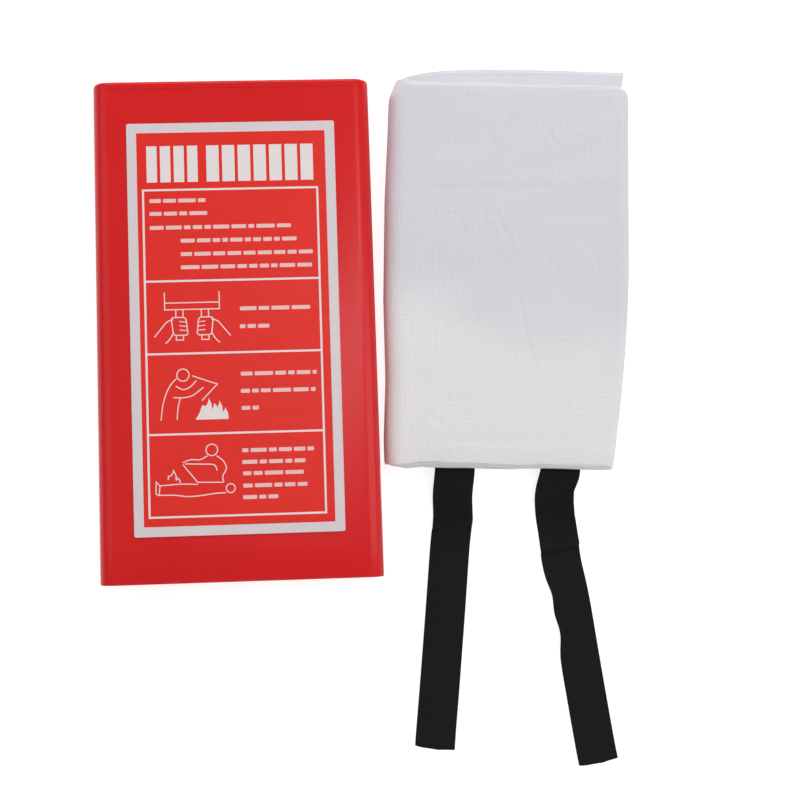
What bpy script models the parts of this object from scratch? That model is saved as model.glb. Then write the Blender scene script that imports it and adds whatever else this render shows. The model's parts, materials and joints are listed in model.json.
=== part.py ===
"""Fire blanket set: a rigid wall case and, beside it, the folded blanket with its two pull straps.

Everything is in metres, +Z up. The origin is the middle of the case's back face, +Y runs towards the
case's closed end and the front label faces +Z. The blanket pack lies to the right of the case.
"""

import math

import bmesh
import bpy
from mathutils import Vector

# Case: a flat tube with rounded corners, closed at its +Y end by a pressed-in cap and open at its -Y end.
CASE_WIDTH = 0.1650         # across the capped end
MOUTH_SPREAD = 0.0025       # the open end springs wider than the capped end by this
CASE_LENGTH = 0.2990
CASE_DEPTH = 0.0360
CASE_CORNER = 0.0095        # outer radius of the tube's four corners
CASE_WALL = 0.0020
CAP_FLANGE = 0.0045         # the cap's part that shows, along Y
CAP_EDGE_RADIUS = 0.0022
CAP_SPIGOT_LENGTH = 0.0120
CAP_SPIGOT_WALL = 0.0020
RIM_CHAMFER = 0.0004

# Hanging hole in the back wall: a round hole for a screw head and a slot above it for the shank.
KEYHOLE_HEAD = 0.0085
KEYHOLE_SLOT = 0.0046
KEYHOLE_RISE = 0.0090       # from the round hole's centre up to the slot's end arc
KEYHOLE_FROM_TOP = 0.0400   # from the case's closed end to the round hole's centre

# Label on the front face.
LABEL_WIDTH = 0.1236
LABEL_LENGTH = 0.2454
LABEL_FROM_TOP = 0.0259
LABEL_OFF_CENTRE = -0.0005
LABEL_THICKNESS = 0.0004
LABEL_CORNER = 0.0012

# Folded blanket: two halves of a book fold, each of twenty layers, with the straps sewn between them.
PACK_WIDTH = 0.1490
PACK_LENGTH = 0.2360
PACK_TURN = math.radians(-2.1)
PACK_GAP = 0.0028           # between the case's mouth and the nearest corner of the pack
PACK_CENTRE_Y = 0.0330
HALF_LAYERS = 20
LAYER_PITCH = 0.00055
BACK_SLIP = 0.0125          # the back half stands out past the front half's top edge by this
SLIP_RUN = 0.0150           # the slip builds up over this distance from the spine
TAPER_DEPTH = 0.0104        # the right edge is pulled in by this at the bottom
TAPER_LENGTH = 0.1250
TAPER_POWER = 1.7
OPEN_EDGE_RADIUS = 0.0040
END_RADIUS = 0.0035

# Straps of woven webbing, sewn on the back half and coming out under the front half's bottom edge.
STRAP_WIDTH = 0.0244
STRAP_THICKNESS = 0.0012
STRAP_DROP_RUN = 0.0300     # the strap comes down to the table over this length
STRAP_SEWN_LENGTH = 0.0420
LEFT_STRAP_INSET = 0.0428   # from the spine to the strap's middle
RIGHT_STRAP_INSET = 0.1076
# Routes on the table from the exit: sideways to the right, and forward away from the pack.
LEFT_ROUTE = ((0.0, 0.0), (-0.0009, 0.014), (-0.0008, 0.026), (-0.0012, 0.036), (-0.0058, 0.104),
              (-0.0107, 0.1693))
RIGHT_ROUTE = ((0.0, 0.0), (-0.0026, 0.013), (-0.0020, 0.024), (0.0013, 0.050), (0.0078, 0.080),
               (0.0164, 0.130), (0.0250, 0.178))

# Box stitching that holds each strap.
STITCH_LENGTH = 0.0200
STITCH_MARGIN = 0.0025      # from the strap's sides
STITCH_BAR = 0.0009
STITCH_BAR_END = 0.00072    # the diagonals stop this far inside the box's corners
STITCH_THICKNESS = 0.0004

FIT = 0.0003                # gap kept between pieces that touch

# How finely round shapes and long runs are divided.
ARC_STEPS = 12              # half circle of the keyhole
CASE_CORNER_STEPS = 6
CAP_EDGE_STEPS = 6
CORNER_STEPS = 4            # label corner
OPEN_EDGE_STEPS = 5         # quarter round at the pack's open edges
SPINE_STEPS = 8             # quarter round at the pack's spine
FLAT_STEPS = 8              # the pack's flat faces, across
LENGTH_STEPS = 10           # the pack's flat faces, along
END_STEPS = 4               # quarter round at the pack's ends
NOSE_STEPS = 4              # rounded start of a free strap
NOSE_THINNEST = 0.12        # its first section, as a share of the strap's half thickness
ROUTE_SPACING = 0.0060      # between a strap's sections
SMOOTH_ANGLE = math.radians(35)

CASE_TOP = CASE_LENGTH / 2
CASE_MOUTH = -CASE_LENGTH / 2
SLEEVE_TOP = CASE_TOP - CAP_FLANGE - FIT
MOUTH_WIDTH = CASE_WIDTH + MOUTH_SPREAD
HALF_THICKNESS = HALF_LAYERS * LAYER_PITCH
STRAP_LEVEL = HALF_THICKNESS + FIT
STITCH_LEVEL = STRAP_LEVEL + STRAP_THICKNESS + FIT
FRONT_LEVEL = STITCH_LEVEL + STITCH_THICKNESS + FIT
SPINE_LEVEL = (HALF_THICKNESS + FRONT_LEVEL) / 2
PACK_SPINE_X = MOUTH_WIDTH / 2 + PACK_GAP + abs(math.sin(PACK_TURN)) * PACK_LENGTH / 2
STRAP_EXIT_Y = -PACK_LENGTH / 2 - STRAP_THICKNESS / 2 - 2 * FIT


def clear_scene():
    """Remove every object of the open scene."""
    for obj in list(bpy.data.objects):
        bpy.data.objects.remove(obj, do_unlink=True)


def finish(name, red, green, blue, roughness):
    """A Principled material with one colour."""
    material = bpy.data.materials.new(name)
    material.use_nodes = True
    shader = material.node_tree.nodes["Principled BSDF"]
    shader.inputs["Base Color"].default_value = (red, green, blue, 1.0)
    shader.inputs["Roughness"].default_value = roughness
    return material


def add_piece(name, bm, material, parent=None):
    """Turn a bmesh into a named object, with outward faces and smooth round sides."""
    bmesh.ops.remove_doubles(bm, verts=bm.verts, dist=1e-7)
    bmesh.ops.recalc_face_normals(bm, faces=bm.faces)
    mesh = bpy.data.meshes.new(name)
    bm.to_mesh(mesh)
    bm.free()
    mesh.materials.append(material)
    mesh.shade_smooth()
    mesh.set_sharp_from_angle(angle=SMOOTH_ANGLE)
    obj = bpy.data.objects.new(name, mesh)
    bpy.context.collection.objects.link(obj)
    if parent is not None:
        obj.parent = parent
    return obj


def skin(loops, closed_ring=False):
    """A bmesh through equal loops of points: capped at both ends, or joined end to end into a ring."""
    bm = bmesh.new()
    rings = [[bm.verts.new(point) for point in loop] for loop in loops]
    count = len(rings[0])
    pairs = list(zip(rings, rings[1:]))
    if closed_ring:
        pairs.append((rings[-1], rings[0]))
    for ring, following in pairs:
        for i in range(count):
            j = (i + 1) % count
            bm.faces.new((ring[i], ring[j], following[j], following[i]))
    if not closed_ring:
        bm.faces.new(rings[0])
        bm.faces.new(rings[-1])
    return bm


def prism(outline, low, high):
    """A bmesh of a flat outline of (x, y) points, from height low to height high."""
    return skin([[(x, y, low) for x, y in outline], [(x, y, high) for x, y in outline]])


def case_section(width, inset, y):
    """A loop across the case at y: a rectangle with rounded corners, all of it moved in by inset."""
    radius = CASE_CORNER - inset
    reach_x = width / 2 - CASE_CORNER
    reach_z = CASE_DEPTH / 2 - CASE_CORNER
    loop = []
    for corner, (sx, sz) in enumerate(((1, 1), (-1, 1), (-1, -1), (1, -1))):
        for step in range(CASE_CORNER_STEPS + 1):
            angle = math.pi / 2 * (corner + step / CASE_CORNER_STEPS)
            x = sx * reach_x + radius * math.cos(angle)
            loop.append((x, y, CASE_DEPTH / 2 + sz * reach_z + radius * math.sin(angle)))
    return loop


def case_sleeve(material):
    """The tube: an outer and an inner skin joined at both rims, with the keyhole cut in its back wall."""
    outer = [case_section(CASE_WIDTH, 0.0, SLEEVE_TOP)]
    outer.append(case_section(MOUTH_WIDTH, 0.0, CASE_MOUTH + RIM_CHAMFER))
    outer.append(case_section(MOUTH_WIDTH, RIM_CHAMFER, CASE_MOUTH))
    inner = [case_section(MOUTH_WIDTH, CASE_WALL, CASE_MOUTH)]
    inner.append(case_section(CASE_WIDTH, CASE_WALL, SLEEVE_TOP))
    sleeve = add_piece("case_sleeve", skin(outer + inner, closed_ring=True), material)
    cut = sleeve.modifiers.new("keyhole", "BOOLEAN")
    cut.operation = "DIFFERENCE"
    cut.solver = "EXACT"
    cut.object = keyhole_cutter()
    return sleeve


def keyhole_cutter():
    """The keyhole's outline as one cutter through the back wall."""
    centre = CASE_TOP - KEYHOLE_FROM_TOP
    head = KEYHOLE_HEAD / 2
    slot = KEYHOLE_SLOT / 2
    neck = math.asin(slot / head)
    outline = []
    for step in range(3 * ARC_STEPS + 1):
        angle = math.pi / 2 + neck + (2 * math.pi - 2 * neck) * step / (3 * ARC_STEPS)
        outline.append((head * math.cos(angle), centre + head * math.sin(angle)))
    for step in range(ARC_STEPS + 1):
        angle = math.pi * step / ARC_STEPS
        outline.append((slot * math.cos(angle), centre + KEYHOLE_RISE + slot * math.sin(angle)))
    block = prism(outline, -CASE_WALL, 2 * CASE_WALL)
    cutter = add_piece("keyhole_cutter", block, finish("cutter", 1, 1, 1, 1))
    cutter.hide_render = True
    cutter.display_type = "WIRE"
    return cutter


def case_top_cap(material):
    """The end cap: a flange as wide as the tube with a rounded edge, and a hollow spigot inside the tube."""
    loops = []
    for step in range(CAP_EDGE_STEPS + 1):
        angle = math.pi / 2 * (1 - step / CAP_EDGE_STEPS)
        inset = CAP_EDGE_RADIUS * (1 - math.cos(angle))
        y = CASE_TOP - CAP_EDGE_RADIUS * (1 - math.sin(angle))
        loops.append(case_section(CASE_WIDTH, inset, y))
    underside = CASE_TOP - CAP_FLANGE
    tip = underside - CAP_SPIGOT_LENGTH
    spigot = CASE_WALL + FIT
    bore = spigot + CAP_SPIGOT_WALL
    loops.append(case_section(CASE_WIDTH, 0.0, underside))
    loops.append(case_section(CASE_WIDTH, spigot, underside))
    loops.append(case_section(CASE_WIDTH, spigot, tip + RIM_CHAMFER))
    loops.append(case_section(CASE_WIDTH, spigot + RIM_CHAMFER, tip))
    loops.append(case_section(CASE_WIDTH, bore, tip))
    loops.append(case_section(CASE_WIDTH, bore, underside))
    return add_piece("case_top_cap", skin(loops), material)


def front_label(material):
    """The printed sticker: a thin plate with slightly rounded corners just over the front face."""
    outline = []
    reach_x = LABEL_WIDTH / 2 - LABEL_CORNER
    reach_y = LABEL_LENGTH / 2 - LABEL_CORNER
    middle_y = CASE_TOP - LABEL_FROM_TOP - LABEL_LENGTH / 2
    for corner, (sx, sy) in enumerate(((1, 1), (-1, 1), (-1, -1), (1, -1))):
        for step in range(CORNER_STEPS + 1):
            angle = math.pi / 2 * (corner + step / CORNER_STEPS)
            x = LABEL_OFF_CENTRE + sx * reach_x + LABEL_CORNER * math.cos(angle)
            y = middle_y + sy * reach_y + LABEL_CORNER * math.sin(angle)
            outline.append((x, y))
    low = CASE_DEPTH + FIT
    return add_piece("front_label", prism(outline, low, low + LABEL_THICKNESS), material)


def right_edge(y):
    """Where the pack's right edge lies at height y along the spine: straight, then pulled in."""
    down = (TAPER_LENGTH - (y + PACK_LENGTH / 2)) / TAPER_LENGTH
    return PACK_WIDTH - TAPER_DEPTH * max(0.0, down) ** TAPER_POWER


def slip(x):
    """How far the back half's edges stand up the spine's direction, at distance x from the spine."""
    return BACK_SLIP * (1 - math.exp(-max(x, 0.0) / SLIP_RUN))


def half_profile(width, shrink):
    """The front half's section across the spine as (x, z above its underside) points, thinned by shrink."""
    top = HALF_THICKNESS - shrink
    spine = HALF_THICKNESS
    edge = min(OPEN_EDGE_RADIUS, (top - shrink) / 2)
    points = []
    for step in range(OPEN_EDGE_STEPS + 1):
        angle = -math.pi / 2 + math.pi / 2 * step / OPEN_EDGE_STEPS
        points.append((width - edge + edge * math.cos(angle), shrink + edge + edge * math.sin(angle)))
    for step in range(OPEN_EDGE_STEPS + 1):
        angle = math.pi / 2 * step / OPEN_EDGE_STEPS
        points.append((width - edge + edge * math.cos(angle), top - edge + edge * math.sin(angle)))
    for step in range(1, FLAT_STEPS):
        points.append((width + (spine - width) * step / FLAT_STEPS, top))
    for step in range(SPINE_STEPS + 1):
        angle = math.pi / 2 + math.pi / 2 * step / SPINE_STEPS
        height = max(shrink, spine * math.sin(angle) - shrink)
        points.append((spine + spine * math.cos(angle), height))
    for step in range(1, FLAT_STEPS):
        points.append((width * step / FLAT_STEPS * (1 - edge / width), shrink))
    return points


def blanket_half(name, material, parent, is_front):
    """One half of the folded blanket: a soft slab with a round spine at x = 0 and rounded ends."""
    bottom = -PACK_LENGTH / 2
    ends = []
    for step in range(END_STEPS + 1):
        angle = math.pi / 2 * step / END_STEPS
        ends.append((bottom + END_RADIUS * (1 - math.cos(angle)), END_RADIUS * (1 - math.sin(angle))))
    flat = PACK_LENGTH - 2 * END_RADIUS
    middle = [(bottom + END_RADIUS + flat * k / LENGTH_STEPS, 0.0) for k in range(1, LENGTH_STEPS)]
    mirrored = [(-y, shrink) for y, shrink in reversed(ends)]
    loops = []
    for y, shrink in ends + middle + mirrored:
        loop = []
        for x, height in half_profile(right_edge(y), shrink):
            if is_front:
                loop.append((x, y, FRONT_LEVEL + height))
            else:
                loop.append((x, y + slip(x), HALF_THICKNESS - height))
        loops.append(loop)
    return add_piece(name, skin(loops), material, parent)


def smooth_route(corners):
    """Points about ROUTE_SPACING apart on a Catmull-Rom curve through the corners."""
    chain = [Vector(corner) for corner in corners]
    chain = [2 * chain[0] - chain[1]] + chain + [2 * chain[-1] - chain[-2]]
    points = []
    for a, b, c, d in zip(chain, chain[1:], chain[2:], chain[3:]):
        steps = max(2, round((c - b).length / ROUTE_SPACING))
        for k in range(steps):
            t = k / steps
            points.append(0.5 * (2 * b + (c - a) * t + (2 * a - 5 * b + 4 * c - d) * t ** 2
                                 + (3 * b - a - 3 * c + d) * t ** 3))
    points.append(chain[-2])
    return points


def drop_height(distance):
    """Height of the strap's middle line at a distance from its exit."""
    t = min(max(distance / STRAP_DROP_RUN, 0.0), 1.0)
    start = STRAP_LEVEL + STRAP_THICKNESS / 2
    rest = STRAP_THICKNESS / 2
    return start + (rest - start) * t * t * (3 - 2 * t)


def band(points, sides, half_thickness):
    """Loops of a flat band: one rectangle at each point, across the given sides."""
    loops = []
    for index, point in enumerate(points):
        before = points[max(index - 1, 0)]
        after = points[min(index + 1, len(points) - 1)]
        normal = sides[index].cross(after - before).normalized()
        across = sides[index] * STRAP_WIDTH / 2
        up = normal * half_thickness[index]
        loops.append([point - across - up, point + across - up, point + across + up, point - across + up])
    return loops


def free_strap(name, material, parent, inset, route):
    """The strap outside the pack. Its object's origin is on the line where it leaves the pack."""
    plan = smooth_route([(side, -forward, 0.0) for side, forward in route])
    points = []
    distance = 0.0
    for index, point in enumerate(plan):
        if index:
            distance += (point - plan[index - 1]).length
        points.append(Vector((point.x, point.y, drop_height(distance))))
    sides = []
    for index in range(len(points)):
        before = points[max(index - 1, 0)]
        after = points[min(index + 1, len(points) - 1)]
        heading = Vector((after.x - before.x, after.y - before.y, 0.0)).normalized()
        sides.append(Vector((-heading.y, heading.x, 0.0)))
    sides[0] = Vector((1.0, 0.0, 0.0))
    exit_height = points[0].z
    half = STRAP_THICKNESS / 2
    nose = []
    nose_half = []
    for step in range(NOSE_STEPS):
        angle = math.pi / 2 * step / NOSE_STEPS
        nose.append(points[0] + Vector((0.0, half * math.cos(angle), 0.0)))
        nose_half.append(half * max(math.sin(angle), NOSE_THINNEST))
    all_points = nose + points
    all_sides = [sides[0]] * len(nose) + sides
    thickness = nose_half + [half] * len(points)
    origin = Vector((inset, STRAP_EXIT_Y, exit_height))
    shift = Vector((0.0, 0.0, exit_height))
    loops = band([point - shift for point in all_points], all_sides, thickness)
    strap = add_piece(name, skin(loops), material, parent)
    strap.location = origin
    return strap


def sewn_end(name, material, parent, inset):
    """The strap's end inside the pack, flat on the back half, up to the line where the strap turns."""
    low_y = STRAP_EXIT_Y + STRAP_THICKNESS / 2 + FIT
    high_y = low_y + STRAP_SEWN_LENGTH
    half = STRAP_WIDTH / 2
    outline = [(inset - half, low_y), (inset + half, low_y), (inset + half, high_y), (inset - half, high_y)]
    return add_piece(name, prism(outline, STRAP_LEVEL, STRAP_LEVEL + STRAP_THICKNESS), material, parent)


def stitching(name, material, parent, inset):
    """The box of thread that holds the strap, with its two diagonals."""
    half_x = STRAP_WIDTH / 2 - STITCH_MARGIN
    half_y = STITCH_LENGTH / 2
    high_y = STRAP_EXIT_Y + STRAP_SEWN_LENGTH - STITCH_MARGIN
    middle = Vector((inset, high_y - half_y, 0.0))
    corners = [Vector((sx * half_x, sy * half_y, 0.0)) for sx, sy in ((-1, -1), (1, -1), (1, 1), (-1, 1))]
    loops = []
    for offset, level in ((0.0, 0.0), (STITCH_BAR, 0.0), (STITCH_BAR, 1.0), (0.0, 1.0)):
        ring = []
        for corner in corners:
            inward = Vector((math.copysign(offset, corner.x), math.copysign(offset, corner.y), 0.0))
            height = STITCH_LEVEL + level * STITCH_THICKNESS
            ring.append(middle + corner - inward + Vector((0.0, 0.0, height)))
        loops.append(ring)
    box = add_piece(name, skin(loops, closed_ring=True), material, parent)
    for label, start, end in (("rising", corners[0], corners[2]), ("falling", corners[1], corners[3])):
        along = (end - start).normalized() * ((end - start).length / 2 - STITCH_BAR_END)
        across = Vector((-along.y, along.x, 0.0)).normalized() * STITCH_BAR / 2
        outline = [(middle + sign_a * along + sign_b * across)[:2] for sign_a, sign_b in
                   ((-1, -1), (1, -1), (1, 1), (-1, 1))]
        bar = prism(outline, STITCH_LEVEL, STITCH_LEVEL + STITCH_THICKNESS)
        tool = add_piece(f"{name}_{label}", bar, material, parent)
        tool.hide_render = True
        tool.display_type = "WIRE"
        join = box.modifiers.new(label, "BOOLEAN")
        join.operation = "UNION"
        join.solver = "EXACT"
        join.object = tool
    return box


def add_frame(name, location, turn=0.0, parent=None):
    """An empty that carries pieces."""
    empty = bpy.data.objects.new(name, None)
    bpy.context.collection.objects.link(empty)
    empty.location = location
    empty.rotation_euler = (0.0, 0.0, turn)
    empty.parent = parent
    return empty


def main():
    """Build the case, then the pack and its straps in the pack's own turned frame."""
    clear_scene()
    red_plastic = finish("red_plastic", 0.64, 0.022, 0.026, 0.32)
    print_film = finish("print_film", 0.80, 0.60, 0.58, 0.40)
    glass_cloth = finish("glass_cloth", 0.72, 0.72, 0.73, 0.85)
    black_webbing = finish("black_webbing", 0.012, 0.012, 0.013, 0.80)
    black_thread = finish("black_thread", 0.015, 0.015, 0.016, 0.70)
    case_sleeve(red_plastic)
    case_top_cap(red_plastic)
    front_label(print_film)
    pack = add_frame("pack", (PACK_SPINE_X, PACK_CENTRE_Y, 0.0), PACK_TURN)
    blanket_half("blanket_back_half", glass_cloth, pack, is_front=False)
    blanket_half("blanket_front_half", glass_cloth, pack, is_front=True)
    straps = (("left", LEFT_STRAP_INSET, LEFT_ROUTE), ("right", RIGHT_STRAP_INSET, RIGHT_ROUTE))
    for side, inset, route in straps:
        free_strap(f"{side}_strap", black_webbing, pack, inset, route)
        sewn_end(f"{side}_strap_sewn_end", black_webbing, pack, inset)
        stitching(f"{side}_strap_stitching", black_thread, pack, inset)


main()
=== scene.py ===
"""Looks of a fire blanket set: a red wall case with its printed label and, beside it, the folded
glass-fibre blanket with its two black pull straps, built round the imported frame.

Lengths are in metres in the frame's own axes: +Y towards the case's closed end, +Z up from the table.
"""

import json
import logging
import math
import random
from dataclasses import dataclass, field
from enum import Enum
from typing import Iterable, Sequence

import bmesh
import bpy
import numpy as np
from mathutils import Matrix, Vector


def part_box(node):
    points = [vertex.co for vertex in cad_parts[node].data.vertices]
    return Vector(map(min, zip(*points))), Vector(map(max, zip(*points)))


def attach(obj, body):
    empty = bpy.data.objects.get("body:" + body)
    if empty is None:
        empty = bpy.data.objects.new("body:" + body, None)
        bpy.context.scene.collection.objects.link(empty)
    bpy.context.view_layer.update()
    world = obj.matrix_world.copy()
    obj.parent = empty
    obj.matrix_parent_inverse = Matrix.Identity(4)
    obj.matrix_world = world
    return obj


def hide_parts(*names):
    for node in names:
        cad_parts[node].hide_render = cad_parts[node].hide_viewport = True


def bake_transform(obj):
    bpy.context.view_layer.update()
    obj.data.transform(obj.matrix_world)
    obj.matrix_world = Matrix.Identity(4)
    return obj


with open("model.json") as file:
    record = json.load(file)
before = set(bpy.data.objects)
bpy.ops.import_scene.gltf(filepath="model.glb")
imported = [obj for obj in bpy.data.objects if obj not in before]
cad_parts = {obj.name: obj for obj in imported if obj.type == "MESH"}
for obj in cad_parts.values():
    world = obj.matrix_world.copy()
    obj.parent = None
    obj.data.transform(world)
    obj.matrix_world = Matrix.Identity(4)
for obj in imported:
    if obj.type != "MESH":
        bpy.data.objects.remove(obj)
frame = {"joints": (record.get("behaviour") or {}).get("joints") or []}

LOG = logging.getLogger("fire_blanket_set")
MM = 0.001

Colour = tuple[float, float, float]
Point = tuple[float, float]
Ring = Sequence[Sequence[float]]
Triple = tuple[float, float, float]
Grid = np.ndarray
QUARTERS = ((1, 1), (-1, 1), (-1, -1), (1, -1))


# ---------------------------------------------------------------- shader nodes


class Value:
    """A node's output that can be used in sums, each of which adds its own Math node."""

    def __init__(self, graph: "Graph", socket: bpy.types.NodeSocket) -> None:
        """Wrap an output socket of a graph."""
        self.graph = graph
        self.socket = socket

    def __add__(self, other: "Value | float") -> "Value":
        """Sum of the two."""
        return self.graph.maths("ADD", self, other)

    def __radd__(self, other: float) -> "Value":
        """Sum with a plain number on the left."""
        return self.graph.maths("ADD", other, self)

    def __sub__(self, other: "Value | float") -> "Value":
        """Difference of the two."""
        return self.graph.maths("SUBTRACT", self, other)

    def __rsub__(self, other: float) -> "Value":
        """A plain number less this value."""
        return self.graph.maths("SUBTRACT", other, self)

    def __mul__(self, other: "Value | float") -> "Value":
        """Product of the two."""
        return self.graph.maths("MULTIPLY", self, other)

    def __rmul__(self, other: float) -> "Value":
        """Product with a plain number on the left."""
        return self.graph.maths("MULTIPLY", other, self)

    def __abs__(self) -> "Value":
        """Size without the sign."""
        return self.graph.maths("ABSOLUTE", self)


class Graph:
    """The nodes of one material."""

    def __init__(self, name: str) -> None:
        """Start a material with a Principled shader.

        Args:
            name: The material's name.
        """
        self.material = bpy.data.materials.new(name)
        self.material.use_nodes = True
        self.tree = self.material.node_tree
        self.shader = self.tree.nodes["Principled BSDF"]

    def node(self, kind: str, settings: dict | None = None, sockets: dict | None = None,
             output: int | str = 0) -> Value:
        """Add one node.

        Args:
            kind: The node's type.
            settings: Its properties, set first.
            sockets: Values or numbers for its inputs, by name or number.
            output: Which output is returned.

        Returns:
            The chosen output, ready for sums.
        """
        node = self.tree.nodes.new(kind)
        for name, value in (settings or {}).items():
            setattr(node, name, value)
        for key, value in (sockets or {}).items():
            self._feed(node.inputs[key], value)
        return Value(self, node.outputs[output])

    def _feed(self, socket: bpy.types.NodeSocket, value: "Value | float | Sequence[float]") -> None:
        """Link a value to an input, or set a plain number or colour on it.

        Args:
            socket: The input.
            value: What it gets.
        """
        if isinstance(value, Value):
            self.tree.links.new(value.socket, socket)
        elif socket.type == "RGBA":
            socket.default_value = (*value, 1.0)
        else:
            socket.default_value = value

    def maths(self, operation: str, *terms: "Value | float") -> Value:
        """A Math node on the given terms."""
        return self.node("ShaderNodeMath", {"operation": operation}, dict(enumerate(terms)))

    def sine(self, angle: Value) -> Value:
        """Sine of an angle in radians."""
        return self.maths("SINE", angle)

    def ramp_between(self, value: Value, low: float, high: float) -> Value:
        """0 below low, 1 above high, and a smooth step between (reversed where high is below low).

        Args:
            value: What is compared.
            low: Where the step starts.
            high: Where it ends.

        Returns:
            The share from 0 to 1.
        """
        flip = high < low
        ends = {"From Min": min(low, high), "From Max": max(low, high)}
        ends |= {"To Min": float(flip), "To Max": float(not flip)}
        return self.node("ShaderNodeMapRange", {"interpolation_type": "SMOOTHSTEP"}, {"Value": value, **ends})

    def mix(self, share: "Value | float", first: "Value | Colour", second: "Value | Colour") -> Value:
        """A colour between two, at a share from 0 to 1.

        Args:
            share: The share of the second.
            first: The colour at 0.
            second: The colour at 1.

        Returns:
            The mixed colour.
        """
        colour_a, colour_b, result = 6, 7, 2
        return self.node("ShaderNodeMix", {"data_type": "RGBA", "clamp_factor": True},
                         {0: share, colour_a: first, colour_b: second}, result)

    def surface_place(self) -> Value:
        """Place on the piece, in metres."""
        return self.node("ShaderNodeTexCoord", output="Object")

    def woven_place(self) -> Value:
        """Place on the flat cloth in millimetres, stored on the mesh."""
        return self.node("ShaderNodeAttribute", {"attribute_name": WOVEN}, output="Vector")

    def stretched(self, place: Value, scale: Sequence[float]) -> Value:
        """A place scaled by its own amount along each axis."""
        return self.node("ShaderNodeVectorMath", {"operation": "MULTIPLY"}, {0: place, 1: scale})

    def split(self, place: Value) -> tuple[Value, Value, Value]:
        """The three numbers of a place."""
        parts = self.node("ShaderNodeSeparateXYZ", sockets={0: place}).socket.node
        return tuple(Value(self, socket) for socket in parts.outputs)

    def noise(self, place: Value, scale: float, detail: float = 2.0) -> Value:
        """Soft noise from 0 to 1, round 0.5."""
        return self.node("ShaderNodeTexNoise", sockets={"Vector": place, "Scale": scale, "Detail": detail})

    def bump(self, height: Value, depth: float, under: Value | None = None) -> Value:
        """A normal from a height.

        Args:
            height: Height from 0 to 1.
            depth: How much 1 stands for, in metres.
            under: A coarser bump that this one lies on.

        Returns:
            The normal.
        """
        sockets = {"Height": height, "Distance": depth, "Strength": 1.0}
        if under is not None:
            sockets["Normal"] = under
        return self.node("ShaderNodeBump", sockets=sockets)

    def finish(self, **sockets: "Value | float | Colour") -> None:
        """Set the Principled shader's inputs; underscores in names stand for spaces."""
        for name, value in sockets.items():
            self._feed(self.shader.inputs[name.replace("_", " ")], value)


# ---------------------------------------------------------------- finishes

WOVEN = "woven_place"


@dataclass(frozen=True)
class Finish:
    """A surface finish, which makes its material once."""

    name: str
    slot: str
    colour: Colour
    roughness: float

    def material(self) -> bpy.types.Material:
        """The material, made at the first call.

        Returns:
            The material.
        """
        made = bpy.data.materials.get(self.name)
        if made is None:
            graph = Graph(self.name)
            self.dress(graph)
            made = graph.material
        return made

    def dress(self, graph: Graph) -> None:
        """Wire the finish's nodes."""
        raise NotImplementedError

    def on(self, piece: bpy.types.Object) -> bpy.types.Object:
        """Put the finish on a piece.

        Args:
            piece: The piece to dress.

        Returns:
            The same piece.
        """
        piece.data.materials.clear()
        piece.data.materials.append(self.material())
        return piece

    def shade(self, factor: float) -> Colour:
        """The finish's colour, lighter or darker by a factor."""
        return tuple(min(1.0, channel * factor) for channel in self.colour)


@dataclass(frozen=True)
class MouldedPlastic(Finish):
    """Semi-gloss plastic with a faint orange peel, rubbing marks and a paler rim at the mouth."""

    mouth_y: float = 0.0
    peel_scale: float = 420.0
    peel_depth: float = 0.000016
    grain_scale: float = 4200.0
    rub_scale: float = 26.0
    rim_length: float = 1.6 * MM

    def dress(self, graph: Graph) -> None:
        """Wire the plastic's nodes.

        Args:
            graph: The material's graph.
        """
        place = graph.surface_place()
        _, along, _ = graph.split(place)
        cloud = graph.noise(place, 14.0, 3.0)
        rubbing = graph.noise(graph.stretched(place, (1.0, 9.0, 1.0)), self.rub_scale, 4.0)
        scuffed = graph.ramp_between(rubbing, 0.58, 0.74)
        rim = graph.ramp_between(along, self.mouth_y + self.rim_length, self.mouth_y + self.rim_length / 8)
        worn = graph.ramp_between(graph.noise(place, 160.0, 3.0), 0.42, 0.62) * rim
        body = graph.mix(cloud, self.shade(0.93), self.shade(1.06))
        edge_colour = tuple(0.82 * channel + 0.06 for channel in self.colour)
        colour = graph.mix(worn * 0.5, body, edge_colour)
        peel = graph.bump(graph.noise(place, self.peel_scale, 2.0), self.peel_depth)
        grain = graph.bump(graph.noise(place, self.grain_scale, 1.0), self.peel_depth * 0.15, peel)
        roughness = self.roughness + 0.03 * scuffed + 0.05 * cloud + 0.15 * worn
        graph.finish(Base_Color=colour, Roughness=roughness, Normal=grain, IOR=1.50,
                     Specular_IOR_Level=0.22)


@dataclass(frozen=True)
class PrintedFilm(Finish):
    """Coated sticker film or the ink on it, with faint mottling and rubbed streaks."""

    mottle: float = 0.04

    def dress(self, graph: Graph) -> None:
        """Wire the film's nodes.

        Args:
            graph: The material's graph.
        """
        place = graph.surface_place()
        mottle = graph.noise(place, 90.0, 4.0)
        speck = graph.ramp_between(graph.noise(place, 2600.0, 1.0), 0.62, 0.75)
        colour = graph.mix(mottle, self.shade(1.0 - self.mottle), self.shade(1.0 + self.mottle))
        colour = graph.mix(speck * 0.12, colour, self.shade(0.8))
        streaks = graph.noise(graph.stretched(place, (1.0, 14.0, 1.0)), 22.0, 3.0)
        ripple = graph.bump(graph.noise(place, 55.0, 2.0), 0.00005)
        roughness = self.roughness + 0.12 * graph.ramp_between(streaks, 0.5, 0.8)
        graph.finish(Base_Color=colour, Roughness=roughness, Normal=ripple, IOR=1.48,
                     Specular_IOR_Level=0.28)


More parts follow.
